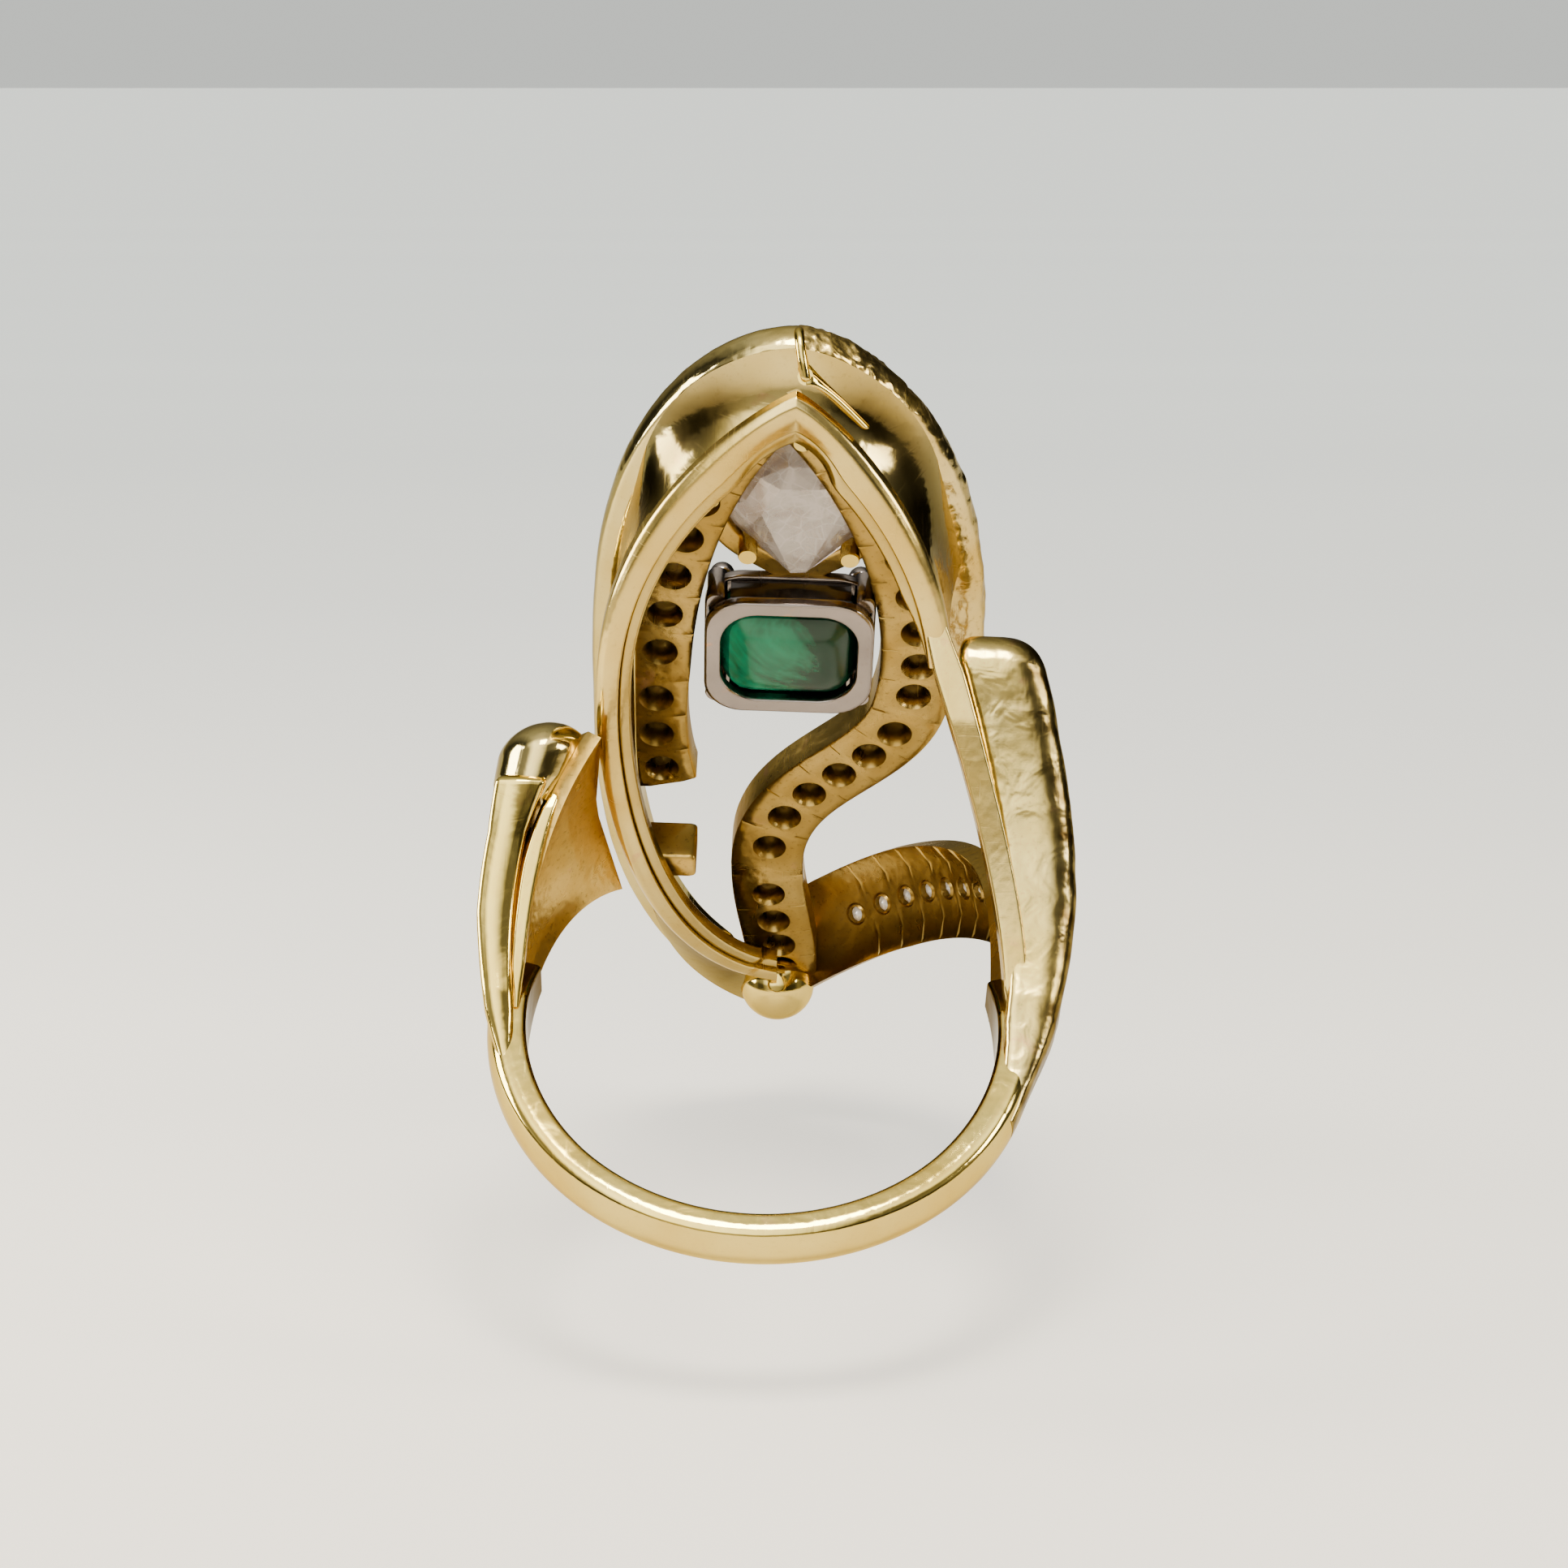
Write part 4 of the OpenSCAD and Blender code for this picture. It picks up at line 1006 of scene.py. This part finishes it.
tilt = math.radians(13)
sky = up*math.cos(tilt) - look*math.sin(tilt)
away = np.cross(sky, right)
away = -away if away@look < 0 else away
foot = -sky*FLOOR_DROP*MM
corner = [foot + right*x*MM + away*y*MM
          for x, y in ((-900, -500), (900, -500), (900, 2600), (-900, 2600))]
floor_mesh = bpy.data.meshes.new("floor")
floor_mesh.from_pydata([list(c) for c in corner], [], [[0, 1, 2, 3]])
if np.array(floor_mesh.polygons[0].normal)@sky < 0:
    floor_mesh.flip_normals()
floor = new_object("floor", floor_mesh)
floor_mat, tree, shader = new_material("pale_floor")
where = add_node(tree, "ShaderNodeTexCoord")
depth = dot(tree, (where, "Object"), tuple(away))
wave = add_node(tree, "ShaderNodeTexNoise", {"noise_dimensions": "1D"}, W=(depth, "Value"), Scale=22.0,
                Detail=1.0)
near_far = add_node(tree, "ShaderNodeMapRange", Value=(depth, "Value"), _1=-0.02, _2=0.35)
base = ramp(tree, (near_far, "Result"), [(0.0, (0.72, 0.64, 0.52)), (0.25, (0.60, 0.56, 0.48)),
                                         (1.0, (0.70, 0.71, 0.65))])
waves = ramp(tree, (wave, "Fac"), [(0.35, 0.80), (0.65, 1.0)])
tone = mix(tree, 0.2, (base, "Color"), (waves, "Color"), blend_type="MULTIPLY")
tree.links.new(tone.outputs["Result"], shader.inputs["Base Color"])
glow = calc(tree, "MULTIPLY", (add_node(tree, "ShaderNodeLightPath"), "Is Camera Ray"), GLOW)
tree.links.new(glow.outputs["Value"], shader.inputs["Emission Strength"])
shader.inputs["Emission Color"].default_value = (0.76, 0.86, 0.94, 1)
shader.inputs["Roughness"].default_value = 0.75
back = add_node(tree, "ShaderNodeNewGeometry")
clear = add_node(tree, "ShaderNodeBsdfTransparent")
one_side = add_node(tree, "ShaderNodeMixShader", _0=(back, "Backfacing"), _1=(shader, "BSDF"),
                    _2=(clear, "BSDF"))
tree.links.new(one_side.outputs["Shader"], tree.nodes["Material Output"].inputs["Surface"])
floor_mesh.materials.append(floor_mat)

# The world is a dim room behind the ring and a bright window band behind the camera, both
# varied from left to right by flank. The camera itself sees an even pale grey.
world = bpy.data.worlds.new("studio")
bpy.context.scene.world = world
world.use_nodes = True
tree = world.node_tree
where = add_node(tree, "ShaderNodeTexCoord")
height = dot(tree, (where, "Generated"), tuple(sky))
front = dot(tree, (where, "Generated"), tuple(-look))
sideways = dot(tree, (where, "Generated"), tuple(right))
level = add_node(tree, "ShaderNodeMapRange", Value=(height, "Value"), _1=-1.0, _2=1.0)
room = ramp(tree, (level, "Result"), [(0.0, (0.40, 0.36, 0.28)), (0.48, (0.24, 0.22, 0.17)),
                                      (0.56, (0.13, 0.125, 0.10)), (0.70, (0.22, 0.21, 0.18)),
                                      (0.90, (0.42, 0.41, 0.36)), (1.0, (0.85, 0.80, 0.68))])
behind = ramp(tree, (level, "Result"), [(0.0, (0.40, 0.37, 0.28)), (0.50, (0.50, 0.45, 0.33)),
                                        (0.63, (0.62, 0.56, 0.42)), (0.68, (2.7, 2.6, 2.3)),
                                        (0.94, (3.0, 2.85, 2.5)), (1.0, (1.9, 1.82, 1.6))])
to_back = ramp(tree, (front, "Value"), [(0.10, 0.0), (0.35, 1.0)])
both = mix(tree, (to_back, "Color"), (room, "Color"), (behind, "Color"))
left_right = add_node(tree, "ShaderNodeMapRange", Value=(sideways, "Value"), _1=-1.0, _2=1.0)
flank = ramp(tree, (left_right, "Result"), [(0.02, 0.55), (0.08, 0.12), (0.15, 0.16), (0.27, 1.5),
                                            (0.45, 1.3), (0.60, 0.8), (0.72, 0.07), (0.92, 0.10),
                                            (0.98, 0.55)])
high = ramp(tree, (height, "Value"), [(0.72, 0.0), (0.86, 1.0)])
keep = calc(tree, "MAXIMUM", (flank, "Color"), (high, "Color"))
studio = mix(tree, 1.0, (both, "Result"), (keep, "Value"), blend_type="MULTIPLY")
path = add_node(tree, "ShaderNodeLightPath")
seen = mix(tree, (path, "Is Camera Ray"), (studio, "Result"), (0.74, 0.76, 0.72, 1))
background = tree.nodes["Background"]
tree.links.new(seen.outputs["Result"], background.inputs["Color"])
background.inputs["Strength"].default_value = 1.0


def lamp(name, place, size, power, colour):
    """Square area light at place, in the ring's frame, facing the ring."""
    data = bpy.data.lights.new(name, "AREA")
    data.size, data.energy, data.color = size*MM, power, colour
    made = new_object(name, data)
    place = np.asarray(place, float)
    z = unit(place)
    x = unit(np.cross(right, z)) if abs(right@z) < 0.9 else up
    y = np.cross(z, x)
    turned_to = Matrix(np.stack([x, y, z], 1).tolist()).to_4x4()
    made.matrix_world = Matrix.Translation((place*MM).tolist())@turned_to


lamp("overhead", sky*150 - look*45, 60, 0.38, (1.0, 0.97, 0.90))
lamp("left_window", -right*130 + sky*60 + look*20, 70, 0.30, (1.0, 0.97, 0.92))
lamp("right_fill", right*140 + sky*70 - look*40, 50, 0.15, (1.0, 0.95, 0.86))
